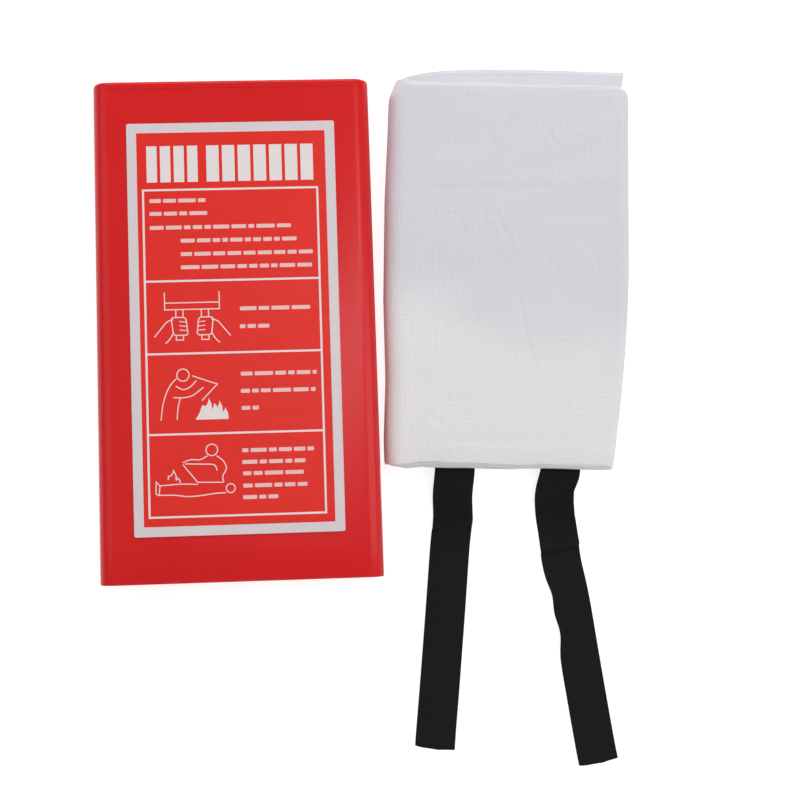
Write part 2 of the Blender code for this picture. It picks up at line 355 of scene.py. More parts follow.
@dataclass(frozen=True)
class GlassCloth(Finish):
    """Plain-woven glass-fibre cloth: crossing yarns, soft slubs and shallow handling creases.

    Pitches and places are in millimetres on the flat cloth. Its colour carries painted light: bluish grey up
    to the first of the two painted-light limits below, and a lighter white from the second on.
    """

    warp_pitch: float = 0.70
    weft_pitch: float = 0.76
    yarn_depth: float = 0.00018
    wrinkle_depth: float = 0.00050
    # Painted light: the lighter white that the cloth is painted towards the hem, and where along the cloth
    # that painted light starts and ends.
    painted_light_colour: Colour = (0.92, 0.92, 0.918)
    painted_light_from: float = 995.0
    painted_light_to: float = 1050.0

    def dress(self, graph: Graph) -> None:
        """Wire the cloth's nodes.

        Args:
            graph: The material's graph.
        """
        place = graph.woven_place()
        across, along, _ = graph.split(place)
        slub = graph.noise(graph.stretched(place, (0.9, 0.05, 1.0)), 1.0, 2.0) - 0.5
        drift = graph.noise(place, 0.03, 2.0) * 1.4
        warp = graph.sine((across + drift + 0.25 * slub) * (math.pi / self.warp_pitch))
        weft = graph.sine((along + drift) * (math.pi / self.weft_pitch))
        over = graph.ramp_between(warp * weft, -0.35, 0.35)
        height = over * abs(warp) + (1.0 - over) * abs(weft)
        tone = graph.noise(place, 0.045, 3.0)
        greyed = graph.mix(tone, self.shade(0.965), self.shade(1.02))
        # Painted light: from a wavy limit on, the cloth is painted lighter and whiter towards the hem, and
        # bluish grey before it.
        drifting = along + 46.0 * (graph.noise(place, 0.012, 2.0) - 0.5) - 0.30 * across
        painted_light_share = graph.ramp_between(drifting, self.painted_light_from, self.painted_light_to)
        yarn = graph.mix(painted_light_share, greyed, self.painted_light_colour)
        # Painted shade: the hollows between the yarns are painted darker.
        colour = graph.mix(graph.ramp_between(height, 0.05, 0.75), self.shade(0.66), yarn)
        colour = graph.mix(graph.ramp_between(slub, 0.12, 0.35) * 0.5, colour, self.shade(1.07))
        wrinkle = graph.noise(graph.stretched(place, (0.030, 0.055, 1.0)), 1.0, 3.0)
        handled = graph.bump(wrinkle, self.wrinkle_depth)
        woven = graph.bump(height, self.yarn_depth, handled)
        graph.finish(Base_Color=colour, Roughness=self.roughness - 0.18 * height, Normal=woven, IOR=1.46,
                     Sheen_Weight=0.12, Sheen_Roughness=0.45)


@dataclass(frozen=True)
class Webbing(Finish):
    """Woven tape: fine ribs that lean one way and then the other, with a denser edge on each side."""

    half_width: float = 12.2
    rib_pitch: float = 1.05
    rib_depth: float = 0.00016
    strand_pitch: float = 0.62
    selvedge_pitch: float = 0.8

    def dress(self, graph: Graph) -> None:
        """Wire the tape's nodes.

        Args:
            graph: The material's graph.
        """
        place = graph.woven_place()
        across, along, _ = graph.split(place)
        chevron_width = self.half_width / 3
        fold = abs(graph.maths("PINGPONG", across, chevron_width))
        rib = graph.sine((along + fold * 0.55) * (2 * math.pi / self.rib_pitch))
        strand = graph.sine(across * (2 * math.pi / self.strand_pitch))
        edge = graph.ramp_between(abs(across), self.half_width - 1.5, self.half_width - 1.1)
        selvedge = graph.sine(along * (2 * math.pi / self.selvedge_pitch)) * 0.5 + 0.5
        body = (rib * 0.5 + 0.5) * 0.7 + (strand * 0.5 + 0.5) * 0.3
        height = body * (1.0 - edge) + selvedge * edge
        dust = graph.noise(place, 0.35, 5.0)
        # Painted light and shade: the ribs' tops are painted lighter and their hollows darker.
        colour = graph.mix(height, self.shade(0.55), self.shade(1.25))
        colour = graph.mix(graph.ramp_between(dust, 0.52, 0.78) * 0.35, colour, self.shade(2.2))
        sag = graph.bump(graph.noise(place, 0.06, 2.0), 0.0004)
        woven = graph.bump(height, self.rib_depth, sag)
        graph.finish(Base_Color=colour, Roughness=self.roughness - 0.12 * height, Normal=woven, IOR=1.45,
                     Specular_IOR_Level=0.24)


@dataclass(frozen=True)
class Thread(Finish):
    """Twisted sewing thread."""

    twist_pitch: float = 0.00042
    twist_depth: float = 0.00006

    def dress(self, graph: Graph) -> None:
        """Wire the thread's nodes.

        Args:
            graph: The material's graph.
        """
        across, along, up = graph.split(graph.surface_place())
        twist = graph.sine((across + along * 0.9 + up) * (2 * math.pi / self.twist_pitch)) * 0.5 + 0.5
        # Painted light and shade: the twist's ridges are painted lighter and its grooves darker.
        colour = graph.mix(twist, self.shade(0.6), self.shade(1.5))
        graph.finish(Base_Color=colour, Roughness=self.roughness - 0.1 * twist,
                     Normal=graph.bump(twist, self.twist_depth))


@dataclass(frozen=True)
class StudioFloor(Finish):
    """Pale floor that glows a little, so that it stays plain."""

    glow: float = 0.0

    def dress(self, graph: Graph) -> None:
        """Wire the floor's nodes.

        Args:
            graph: The material's graph.
        """
        mottle = graph.noise(graph.surface_place(), 3.0, 2.0)
        colour = graph.mix(mottle, self.shade(0.99), self.shade(1.01))
        graph.finish(Base_Color=colour, Roughness=self.roughness, Emission_Color=(1.0, 1.0, 1.0),
                     Emission_Strength=self.glow)


# ---------------------------------------------------------------- mesh work


class MeshDraft:
    """Points and faces gathered for one piece."""

    def __init__(self) -> None:
        """Start with nothing."""
        self.points: list[tuple[float, ...]] = []
        self.faces: list[tuple[int, ...]] = []

    def loft(self, rings: Sequence[Ring], closed: bool = False) -> None:
        """Skin equal rings of points.

        Args:
            rings: The rings in order, each with as many points as the others.
            closed: Join the last ring to the first, or else cap both ends.
        """
        start = len(self.points)
        size = len(rings[0])
        for ring in rings:
            self.points.extend(tuple(point) for point in ring)
        last = (len(rings) - 1) * size
        firsts = list(range(start, start + last + 1, size))
        spans = list(zip(firsts, firsts[1:]))
        if closed:
            spans.append((firsts[-1], firsts[0]))
        for near, far in spans:
            for i in range(size):
                j = (i + 1) % size
                self.faces.append((near + i, near + j, far + j, far + i))
        if not closed:
            self.faces.append(tuple(reversed(range(start, start + size))))
            self.faces.append(tuple(range(start + last, start + last + size)))

    def prism(self, outline: Sequence[Point], low: float, high: float) -> None:
        """A flat plate with the given outline between two heights."""
        self.loft([[(x, y, low) for x, y in outline], [(x, y, high) for x, y in outline]])

    def ribbon(self, line: Sequence[Point], width: float, low: float, high: float,
               closed: bool = False) -> None:
        """A flat line of constant width with mitred bends.

        Args:
            line: The points along its middle.
            width: Its width.
            low: Height of its underside.
            high: Height of its top.
            closed: Join its end to its start.
        """
        count = len(line)
        rings = []
        for k, (x, y) in enumerate(line):
            before = line[k - 1] if k or closed else None
            after = line[(k + 1) % count] if k < count - 1 or closed else None
            sides = []
            if before is not None:
                sides.append(_left_of(before, (x, y)))
            if after is not None:
                sides.append(_left_of((x, y), after))
            side = sum(sides, Vector((0.0, 0.0))).normalized()
            reach = width / 2 / max(0.4, side.dot(sides[0]))
            dx, dy = side * reach
            right, left = (x - dx, y - dy), (x + dx, y + dy)
            rings.append([(*right, low), (*left, low), (*left, high), (*right, high)])
        self.loft(rings, closed)

    def build(self, name: str, finish: Finish, sharp: float = 35.0) -> bpy.types.Object:
        """Make the object.

        Args:
            name: The piece's name.
            finish: The finish that it gets.
            sharp: Edges that bend more than this many degrees stay sharp.

        Returns:
            The new object, linked to the scene.
        """
        mesh = bpy.data.meshes.new(name)
        mesh.from_pydata(self.points, [], self.faces)
        body = bmesh.new()
        body.from_mesh(mesh)
        bmesh.ops.recalc_face_normals(body, faces=body.faces)
        body.to_mesh(mesh)
        body.free()
        return place_mesh(name, mesh, finish, sharp)


def place_mesh(name: str, mesh: bpy.types.Mesh, finish: Finish, sharp: float) -> bpy.types.Object:
    """Link a mesh to the scene as a smooth piece with a finish.

    Args:
        name: The piece's name.
        mesh: Its mesh.
        finish: The finish that it gets.
        sharp: Edges that bend more than this many degrees stay sharp.

    Returns:
        The new object.
    """
    mesh.shade_smooth()
    mesh.set_sharp_from_angle(angle=math.radians(sharp))
    piece = bpy.data.objects.new(name, mesh)
    bpy.context.collection.objects.link(piece)
    return finish.on(piece)


def _left_of(start: Point, end: Point) -> Vector:
    """Unit vector to the left of the way from start to end."""
    way = Vector((end[0] - start[0], end[1] - start[1])).normalized()
    return Vector((-way.y, way.x))


def arc(centre: Point, radius: float, start: float, end: float, steps: int) -> list[Point]:
    """Points on a circle's arc, both ends included; angles in degrees."""
    angles = [math.radians(start + (end - start) * k / steps) for k in range(steps + 1)]
    return [(centre[0] + radius * math.cos(a), centre[1] + radius * math.sin(a)) for a in angles]


def rounded_box(middle: Point, half_x: float, half_y: float, radius: float, steps: int) -> list[Point]:
    """A rectangle's outline with round corners, from its right side's top corner round to the left.

    Args:
        middle: The rectangle's middle.
        half_x: Half its width.
        half_y: Half its height.
        radius: The corners' radius.
        steps: Steps in each corner.

    Returns:
        The points of the outline.
    """
    outline = []
    for k, (sx, sy) in enumerate(QUARTERS):
        corner = (middle[0] + sx * (half_x - radius), middle[1] + sy * (half_y - radius))
        outline += arc(corner, radius, 90 * k, 90 * k + 90, steps)
    return outline


def smooth_path(corners: Sequence[Sequence[float]], spacing: float) -> list[Vector]:
    """Points about one spacing apart on a Catmull-Rom curve through the corners.

    Args:
        corners: The points that the curve goes through.
        spacing: About how far apart its points are.

    Returns:
        The points of the curve, both ends included.
    """
    chain = [Vector(corner) for corner in corners]
    chain = [2 * chain[0] - chain[1], *chain, 2 * chain[-1] - chain[-2]]
    path = []
    for a, b, c, d in zip(chain, chain[1:], chain[2:], chain[3:]):
        steps = max(2, round((c - b).length / spacing))
        for k in range(steps):
            t = k / steps
            bend = (2 * a - 5 * b + 4 * c - d) * t ** 2
            path.append(0.5 * (2 * b + (c - a) * t + bend + (3 * b - a - 3 * c + d) * t ** 3))
    path.append(chain[-2])
    return path


def smooth_step(value: Grid | float, low: float, high: float) -> Grid:
    """0 up to low, 1 from high on, and smooth between."""
    share = np.clip((np.asarray(value, float) - low) / (high - low), 0.0, 1.0)
    return share * share * (3.0 - 2.0 * share)


def corner_inset(distance: Grid, radius: float) -> Grid:
    """How far a rounded corner lies back from the straight edge, at a distance from the other edge."""
    short = np.clip(1.0 - distance / radius, 0.0, 1.0)
    return radius * (1.0 - np.sqrt(1.0 - short * short))


# ---------------------------------------------------------------- case


@dataclass
class Case:
    """The wall case: a flat sleeve with rounded corners and a hanging hole, and the cap in its top."""

    finish: Finish
    corner: float = 9.5 * MM
    wall: float = 2.0 * MM
    rim_radius: float = 0.7 * MM
    edge_radius: float = 2.2 * MM
    seam: float = 0.07 * MM
    fit: float = 0.3 * MM
    hole_radius: float = 4.25 * MM
    slot_radius: float = 2.3 * MM
    slot_rise: float = 9.0 * MM
    hole_drop: float = 40.0 * MM
    corner_steps: int = 12
    low: Vector = field(default_factory=lambda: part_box("case_sleeve")[0])
    high: Vector = field(default_factory=lambda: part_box("case_sleeve")[1])
    cap_low: Vector = field(default_factory=lambda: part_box("case_top_cap")[0])
    cap_high: Vector = field(default_factory=lambda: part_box("case_top_cap")[1])

    @property
    def depth(self) -> float:
        """Front to back."""
        return self.high.z - self.low.z

    @property
    def top_width(self) -> float:
        """Width at the capped end."""
        return self.cap_high.x - self.cap_low.x

    @property
    def mouth_width(self) -> float:
        """Width at the open end."""
        return self.high.x - self.low.x

    def ring(self, width: float, inset: float, y: float, bow: float = 0.0) -> list[Triple]:
        """A loop round the case.

        Args:
            width: The case's full width there.
            inset: How far inside the full outline the loop lies.
            y: Its place along the case.
            bow: How far the flat walls belly out at their middle.

        Returns:
            The loop's points.
        """
        radius = self.corner - inset
        reach_x = width / 2 - self.corner
        reach_z = self.depth / 2 - self.corner
        middle = self.low.z + self.depth / 2
        across, upright = 14, 4
        loop = []
        for k, (sx, sz) in enumerate(QUARTERS):
            centre = (sx * reach_x, middle + sz * reach_z)
            loop.extend((x, y, z) for x, z in arc(centre, radius, 90 * k, 90 * k + 90, self.corner_steps))
            if k % 2 == 0:
                for step in range(1, across):
                    share = 1 - 2 * step / across
                    rise = reach_z + radius + bow * (1 - share ** 2)
                    loop.append((sx * reach_x * share, y, middle + sz * rise))
            else:
                for step in range(1, upright):
                    rise = sz * reach_z * (1 - 2 * step / upright)
                    loop.append((sx * (reach_x + radius), y, middle + rise))
        return loop

    def width_at(self, y: float) -> float:
        """The sleeve's width at a place along it."""
        share = (self.high.y - y) / (self.high.y - self.low.y)
        return self.top_width + (self.mouth_width - self.top_width) * share

    def sleeve(self) -> bpy.types.Object:
        """The extruded sleeve, with rounded rims and the keyhole in its back wall.

        Returns:
            The sleeve.
        """
        stations = 14
        rim_steps = 5
        bow = 0.06 * MM
        outer = []
        for k in range(stations + 1):
            y = self.high.y + (self.low.y + self.rim_radius - self.high.y) * k / stations
            outer.append(self.ring(self.width_at(y), 0.0, y, bow * math.sin(2.2 * math.pi * k / stations)))
        rim = []
        for k in range(1, rim_steps + 1):
            angle = math.pi / 2 * k / rim_steps
            inset = self.rim_radius * (1 - math.cos(angle))
            y = self.low.y + self.rim_radius * (1 - math.sin(angle))
            rim.append((inset, y))
        rim.extend([(self.wall - inset, y) for inset, y in reversed(rim)])
        mouth = [self.ring(self.mouth_width, inset, y) for inset, y in rim]
        inner = []
        for k in range(stations + 1):
            y = self.low.y + self.rim_radius + (self.high.y - self.low.y - self.rim_radius) * k / stations
            inner.append(self.ring(self.width_at(y), self.wall, y))
        draft = MeshDraft()
        draft.loft(outer + mouth + inner, closed=True)
        sleeve = draft.build("sleeve_shell", self.finish)
        self.cut_keyhole(sleeve)
        return sleeve

    def cut_keyhole(self, sleeve: bpy.types.Object) -> None:
        """Cut the hanging hole through the back wall and drop the cutter.

        Args:
            sleeve: The sleeve, which is cut in place.
        """
        centre = self.cap_high.y - self.hole_drop
        neck = math.degrees(math.asin(self.slot_radius / self.hole_radius))
        outline = arc((0.0, centre), self.hole_radius, 90 + neck, 450 - neck, 48)
        outline += arc((0.0, centre + self.slot_rise), self.slot_radius, 0, 180, 20)
        draft = MeshDraft()
        draft.prism(outline, self.low.z - self.wall, self.low.z + 2 * self.wall)
        cutter = draft.build("keyhole_cutter", self.finish)
        cut = sleeve.modifiers.new("keyhole", "BOOLEAN")
        cut.operation = "DIFFERENCE"
        cut.solver = "EXACT"
        cut.object = cutter
        apply_modifiers(sleeve)
        bpy.data.objects.remove(cutter, do_unlink=True)

    def cap(self) -> bpy.types.Object:
        """The end cap: a rounded flange over the sleeve's end and a hollow spigot inside it.

        Returns:
            The cap.
        """
        top = self.cap_high.y
        underside = self.high.y + self.seam
        lip = 0.12 * MM
        crown_run = 8 * MM
        edge_steps = 10
        rings = []
        for step in (0.75, 0.5, 0.25):
            rings.append(self.ring(self.top_width, self.edge_radius + step * crown_run, top + lip * step))
        for k in range(edge_steps + 1):
            angle = math.pi / 2 * (1 - k / edge_steps)
            inset = self.edge_radius * (1 - math.cos(angle))
            rings.append(self.ring(self.top_width, inset, top - self.edge_radius * (1 - math.sin(angle))))
        rings.append(self.ring(self.top_width, 0.0, underside + lip))
        rings.append(self.ring(self.top_width, lip, underside))
        outer = self.wall + self.fit
        tip = self.cap_low.y
        for inset, y in ((outer, underside), (outer, tip + lip), (outer + lip, tip), (outer + self.wall, tip),
                         (outer + self.wall, underside)):
            rings.append(self.ring(self.top_width, inset, y))
        draft = MeshDraft()
        draft.loft(rings)
        return draft.build("cap_shell", self.finish)

    def build(self) -> None:
        """Make both shells; they ride on the case and stand for its CAD pieces."""
        for piece, node in ((self.sleeve(), "case_sleeve"), (self.cap(), "case_top_cap")):
            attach(piece, "case")
            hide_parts(node)
            report(piece)


def apply_modifiers(piece: bpy.types.Object) -> None:
    """Replace a piece's mesh with what its modifiers make of it.

    Args:
        piece: The piece that keeps the result.
    """
    graph = bpy.context.evaluated_depsgraph_get()
    made = bpy.data.meshes.new_from_object(piece.evaluated_get(graph))
    old = piece.data
    piece.modifiers.clear()
    piece.data = made
    made.name = piece.name
    bpy.data.meshes.remove(old)


# ---------------------------------------------------------------- label


class Side(Enum):
    """Left or right, as seen from the front."""

    LEFT = -1
    RIGHT = 1


@dataclass
class Label:
    """The instruction sticker: pale film, a red field and white print with pictures and no wording.

    Places on it are in millimetres from its middle.
    """

    film: Finish
    red_ink: Finish
    white_ink: Finish
    fine_ink: Finish
    border: float = 5.8
    corner: float = 1.2
    field_corner: float = 0.3
    ink: float = 0.03
    frame_line: float = 1.2
    line_step: float = 0.000004
    picture_line: float = 0.60
    frame_left: float = -52.6
    frame_right: float = 50.7
    frame_top: float = 82.5
    frame_bottom: float = -111.4
    dividers: tuple[float, ...] = (27.9, -15.3, -62.9)
    title_low: float = 87.1
    title_high: float = 108.9
    title_gap: float = 1.9
    title_words: tuple[tuple[float, float, int], ...] = ((-50.2, -20.0, 4), (-14.8, 48.6, 7))
    print_rows: tuple[Triple, ...] = (
        (-48.9, -15.8, 76.0), (-49.0, -15.0, 68.3), (-49.0, 34.5, 59.9),
        (-31.0, 37.6, 51.9), (-31.1, 47.0, 43.9), (-31.2, 46.4, 36.0),
        (3.0, 44.6, 10.7), (2.8, 20.2, 0.1),
        (2.6, 47.4, -28.1), (2.4, 46.5, -38.3), (2.6, 12.7, -48.4),
        (2.3, 44.6, -73.4), (2.2, 43.0, -80.3), (2.5, 38.2, -87.0), (2.4, 40.2, -94.2), (2.2, 22.8, -101.0))
    low: Vector = field(default_factory=lambda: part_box("front_label")[0])
    high: Vector = field(default_factory=lambda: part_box("front_label")[1])
    draft: MeshDraft = field(default_factory=MeshDraft)

    @property
    def face(self) -> float:
        """Height of the film's top face."""
        return self.high.z - 3 * self.ink * MM

    def rounded(self, half_x: float, half_y: float, radius: float, at: Point = (0.0, 0.0)) -> list[Point]:
        """A rounded rectangle's outline in metres, from sizes in millimetres."""
        return [self.place(point) for point in rounded_box(at, half_x, half_y, radius, 5)]

    def place(self, point: Point) -> Point:
        """A place on the label, from millimetres from its middle to the frame's metres."""
        middle = (self.low + self.high) / 2
        return (middle.x + point[0] * MM, middle.y + point[1] * MM)

    def line(self, points: Sequence[Point], width: float | None = None, closed: bool = False) -> None:
        """Print a white line.

        Args:
            points: The points along it, in millimetres.
            width: Its width, or the pictures' own.
            closed: Join its end to its start.
        """
        low = self.face + self.ink * MM
        high = low + (0.5 * self.ink + self.line_step * len(self.draft.points)) * MM
        placed = [self.place(point) for point in points]
        self.draft.ribbon(placed, (width or self.picture_line) * MM, low, high, closed)

    def curve(self, points: Sequence[Point]) -> None:
        """Print a smooth white line through a few points."""
        self.line([(p.x, p.y) for p in smooth_path([(x, y, 0.0) for x, y in points], 1.2)])

    def solid(self, outline: Sequence[Point]) -> None:
        """Print a filled white shape."""
        low = self.face + self.ink * MM
        self.draft.prism([self.place(point) for point in outline], low, low + self.ink * MM)

    def ring(self, middle: Point, radius: float) -> None:
        """Print a white circle line."""
        self.line(arc(middle, radius, 0, 345, 23), closed=True)

    def base(self) -> bpy.types.Object:
        """The film with its adhesive, down to the case's face.

        Returns:
            The film.
        """
        half_x = (self.high.x - self.low.x) / 2 / MM
        half_y = (self.high.y - self.low.y) / 2 / MM
        bevel = 0.08
        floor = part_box("case_sleeve")[1].z
        draft = MeshDraft()
        rings = []
        for inset, z in ((0.0, floor), (0.0, self.face - bevel * MM), (bevel, self.face)):
            outline = self.rounded(half_x - inset, half_y - inset, self.corner)
            rings.append([(x, y, z) for x, y in outline])
        draft.loft(rings)
        return draft.build("label_film", self.film)

    def field_plate(self) -> bpy.types.Object:
        """The red field inside the pale border.

        Returns:
            The plate.
        """
        half_x = (self.high.x - self.low.x) / 2 / MM - self.border
        half_y = (self.high.y - self.low.y) / 2 / MM - self.border
        draft = MeshDraft()
        draft.prism(self.rounded(half_x, half_y, self.field_corner), self.face, self.face + self.ink * MM)
        return draft.build("label_red_field", self.red_ink)

    def frame_and_title(self) -> None:
        """The ruled frame with its dividers, and plain blocks in the title's place."""
        corners = [(self.frame_left, self.frame_bottom), (self.frame_right, self.frame_bottom),
                   (self.frame_right, self.frame_top), (self.frame_left, self.frame_top)]
        self.line(corners, self.frame_line, closed=True)
        inner = self.frame_line / 2
        for y in self.dividers:
            self.line([(self.frame_left + inner, y), (self.frame_right - inner, y)], self.frame_line)
        for left, right, count in self.title_words:
            width = (right - left - self.title_gap * (count - 1)) / count
            for k in range(count):
                start = left + k * (width + self.title_gap)
                self.solid([(start, self.title_low), (start + width, self.title_low),
                            (start + width, self.title_high), (start, self.title_high)])

    def pull_picture(self) -> None:
        """The case's lower end with two straps, each held in a closed hand and pulled down."""
        left, right, top, rim, foot = -41.3, -9.1, 21.2, 14.9, 10.9
        self.line([(left, top), (left, foot), (right, foot), (right, top)])
        self.line([(left, rim), (right, rim)])
        middle = (left + right) / 2
        for side in Side:
            s = side.value
            near, far = middle + s * 5.4, middle + s * 9.6
            self.line([(near, foot), (near, 6.2)])
            self.line([(far, foot), (far, 6.6)])
            self.line([(near, -4.4), (near, -7.2), (far, -7.2), (far, -4.4)])
            fist = self.hand_outline(middle + s * 7.5, 0.9, s)
            self.line(fist, closed=True)
            for k in range(3):
                y = 3.3 - 2.5 * k
                self.line([(middle + s * 3.3, y), (middle + s * 7.6, y + 0.5)], 0.5)
            self.curve([(middle + s * 11.2, 5.0), (middle + s * 15.0, 3.6), (middle + s * 18.6, -0.6),
                        (middle + s * 22.4, -5.2)])
            self.curve([(middle + s * 11.2, -3.0), (middle + s * 13.4, -6.6), (middle + s * 16.0, -9.2)])

    def hand_outline(self, x: float, y: float, side: int) -> list[Point]:
        """A plain closed hand, as a rounded block that leans a little."""
        lean = 0.12 * side
        return [(px + lean * (py - y), py) for px, py in rounded_box((x, y), 4.3, 5.3, 1.6, 4)]

    def flame(self, left: float, right: float, foot: float, tips: Sequence[Point]) -> list[Point]:
        """A flame's outline: curved tongues from its foot up to each tip and back to a notch.

        Args:
            left: Its left end.
            right: Its right end.
            foot: Height of its foot.
            tips: The tips, from right to left.

        Returns:
            The outline.
        """
        outline = [(left, foot), (right, foot)]
        notch_height, notch_lean, rise_lean, fall_lean = 0.62, 0.2, 0.7, 0.5
        previous = (right, foot)
        for k, tip in enumerate(tips):
            last = k + 1 == len(tips)
            notch = (left, foot)
            if not last:
                notch = ((tip[0] + tips[k + 1][0]) / 2 + notch_lean, foot + notch_height * (tip[1] - foot))
            rise = ((previous[0] + tip[0]) / 2 + rise_lean, (previous[1] + tip[1]) / 2)
            fall = ((notch[0] + tip[0]) / 2 + fall_lean, (notch[1] + tip[1]) / 2)
            outline += [rise, tip, fall]
            if not last:
                outline.append(notch)
            previous = notch
        return outline

    def cover_picture(self) -> None:
        """A plain figure that lowers a sheet over a fire."""
        self.ring((-31.4, -28.0), 3.6)
        self.curve([(-35.2, -30.0), (-38.4, -33.2), (-41.4, -38.6), (-43.6, -46.0), (-44.8, -54.6)])
        self.curve([(-33.0, -41.0), (-34.6, -46.8), (-35.4, -54.4)])
        self.curve([(-37.4, -41.2), (-31.6, -41.4), (-26.0, -40.2), (-19.6, -35.6)])
        self.curve([(-35.8, -34.4), (-31.4, -36.6), (-27.2, -35.0), (-23.6, -31.4)])
        self.line([(-20.6, -43.4), (-11.4, -33.8), (-26.0, -28.6)])
        tips = [(-7.0, -47.6), (-10.4, -43.6), (-13.6, -45.0), (-16.6, -42.0), (-20.6, -46.2)]
        self.solid(self.flame(-24.6, -5.2, -54.6, tips))

    def wrap_picture(self) -> None:
        """A plain kneeling figure that spreads a sheet over a lying one."""
        self.ring((-15.5, -72.6), 3.4)
        self.curve([(-18.0, -76.0), (-22.6, -78.2), (-27.8, -78.0), (-32.6, -79.6)])
        self.curve([(-12.8, -76.0), (-8.8, -79.4), (-7.2, -83.8), (-9.4, -88.0), (-8.9, -92.0)])
        self.line([(-32.6, -80.8), (-24.2, -91.4), (-9.6, -91.8)])
        self.curve([(-31.4, -80.4), (-22.0, -80.8), (-14.4, -81.4), (-12.6, -84.8)])
        self.curve([(-46.0, -92.8), (-42.0, -92.6), (-33.6, -92.2), (-24.0, -92.6)])
        self.curve([(-47.6, -98.4), (-38.0, -98.6), (-30.0, -99.6), (-22.0, -99.2), (-14.0, -98.2),
                    (-7.6, -98.0)])
        self.line([(-48.4, -90.6), (-46.2, -93.0), (-46.8, -98.4), (-48.6, -97.6)], closed=True)
        self.ring((-4.9, -95.4), 2.6)
        self.line(self.flame(-42.4, -34.6, -91.6, [(-35.6, -88.6), (-38.2, -84.0), (-41.2, -87.4)])[1:])

    def fine_print(self) -> bpy.types.Object:
        """Rows of plain bars where the small print stands.

        Returns:
            The bars.
        """
        source = random.Random(11)
        draft = MeshDraft()
        low = self.face + self.ink * MM
        half_height, corner, gap = 1.15, 0.5, 1.3
        shortest, longest, least_room, least_rest = 3.2, 11.0, 2.4, 3.4
        for left, right, y in self.print_rows:
            x = left
            while right - x > least_room:
                length = min(source.uniform(shortest, longest), right - x)
                if right - x - length < least_rest:
                    length = right - x
                outline = self.rounded(length / 2, half_height, corner, (x + length / 2, y))
                draft.prism(outline, low, low + self.ink * MM)
                x += length + gap
        return draft.build("label_fine_print", self.fine_ink)

    def build(self) -> None:
        """Make the sticker's pieces; they ride on the case, and the film stands for the CAD label."""
        film = self.base()
        self.frame_and_title()
        self.pull_picture()
        self.cover_picture()
        self.wrap_picture()
        printed = self.draft.build("label_print", self.white_ink)
        for piece in (film, self.field_plate(), printed, self.fine_print()):
            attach(piece, "case")
            report(piece)
        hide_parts("front_label")


# ---------------------------------------------------------------- folded blanket


@dataclass(frozen=True)
class Crease:
    """A shallow handling crease on the pack's face, in the pack's own axes, in millimetres."""

    start: Point
    end: Point
    depth: float
    width: float

    def height(self, x: Grid, y: Grid) -> Grid:
        """Rise of the face: a valley on one side of the crease line and a ridge on the other.

        Args:
            x: Places across the pack.
            y: Places along the spine.

        Returns:
            The rise at each place.
        """
        way = np.subtract(self.end, self.start)
        length = float(np.hypot(*way))
        ux, uy = way / length
        along = (x - self.start[0]) * ux + (y - self.start[1]) * uy
        beside = (-(x - self.start[0]) * uy + (y - self.start[1]) * ux) / self.width
        reach = 0.45 * length
        fade = smooth_step(along, -reach, reach) * (1.0 - smooth_step(along, length - reach, length + reach))
        profile = -beside * np.exp(0.5 - beside * beside) - 0.35 * np.exp(-beside * beside)
        return self.depth * fade * profile


@dataclass
class PackAxes:
    """The pack's own axes: its spine lies along local y at x = 0, and x runs across the pack."""

    origin: Vector
    across: Vector
    along: Vector

    @classmethod
    def from_hinge(cls) -> "PackAxes":
        """Read them from the book fold's hinge.

        Returns:
            The axes.
        """
        hinge = next(joint for joint in frame["joints"] if joint["name"] == "blanket_open")
        axis = Vector(hinge["axis"])
        along = -axis.normalized()
        place = Vector(hinge["pos_m"])
        return cls(Vector((place.x, place.y, 0.0)), Vector((along.y, -along.x, 0.0)), along)

    def to_frame(self, point: Sequence[float]) -> Vector:
        """A local point in the frame's axes."""
        return self.origin + self.across * point[0] + self.along * point[1] + Vector((0.0, 0.0, point[2]))


@dataclass
class FoldSection:
    """The cloth's way through the pack, seen along the spine: eight widths joined by round folds."""

    x: list[float] = field(default_factory=list)
    z: list[float] = field(default_factory=list)
    normal: list[Point] = field(default_factory=list)

    def straight(self, start: float, end: float, level: float, count: int) -> None:
        """A flat width from start to end at one level.

        Args:
            start: Where it starts.
            end: Where it ends.
            level: Its height.
            count: Its steps.
        """
        side = 1.0 if end > start else -1.0
        for k in range(count + 1):
            self.x.append(start + (end - start) * k / count)
            self.z.append(level)
            self.normal.append((0.0, side))

    def fold(self, centre: Point, radius: float, start: float, turn: float, count: int) -> None:
        """A half-round fold from an angle in degrees, turning one way or the other; its ends are left out.

        Args:
            centre: The fold's centre.
            radius: Its radius.
            start: The angle at which it starts.
            turn: How far it turns, with its sign.
            count: Its steps.
        """
        side = -1.0 if turn > 0 else 1.0
        for k in range(1, count):
            angle = math.radians(start + turn * k / count)
            self.x.append(centre[0] + radius * math.cos(angle))
            self.z.append(centre[1] + radius * math.sin(angle))
            self.normal.append((side * math.cos(angle), side * math.sin(angle)))


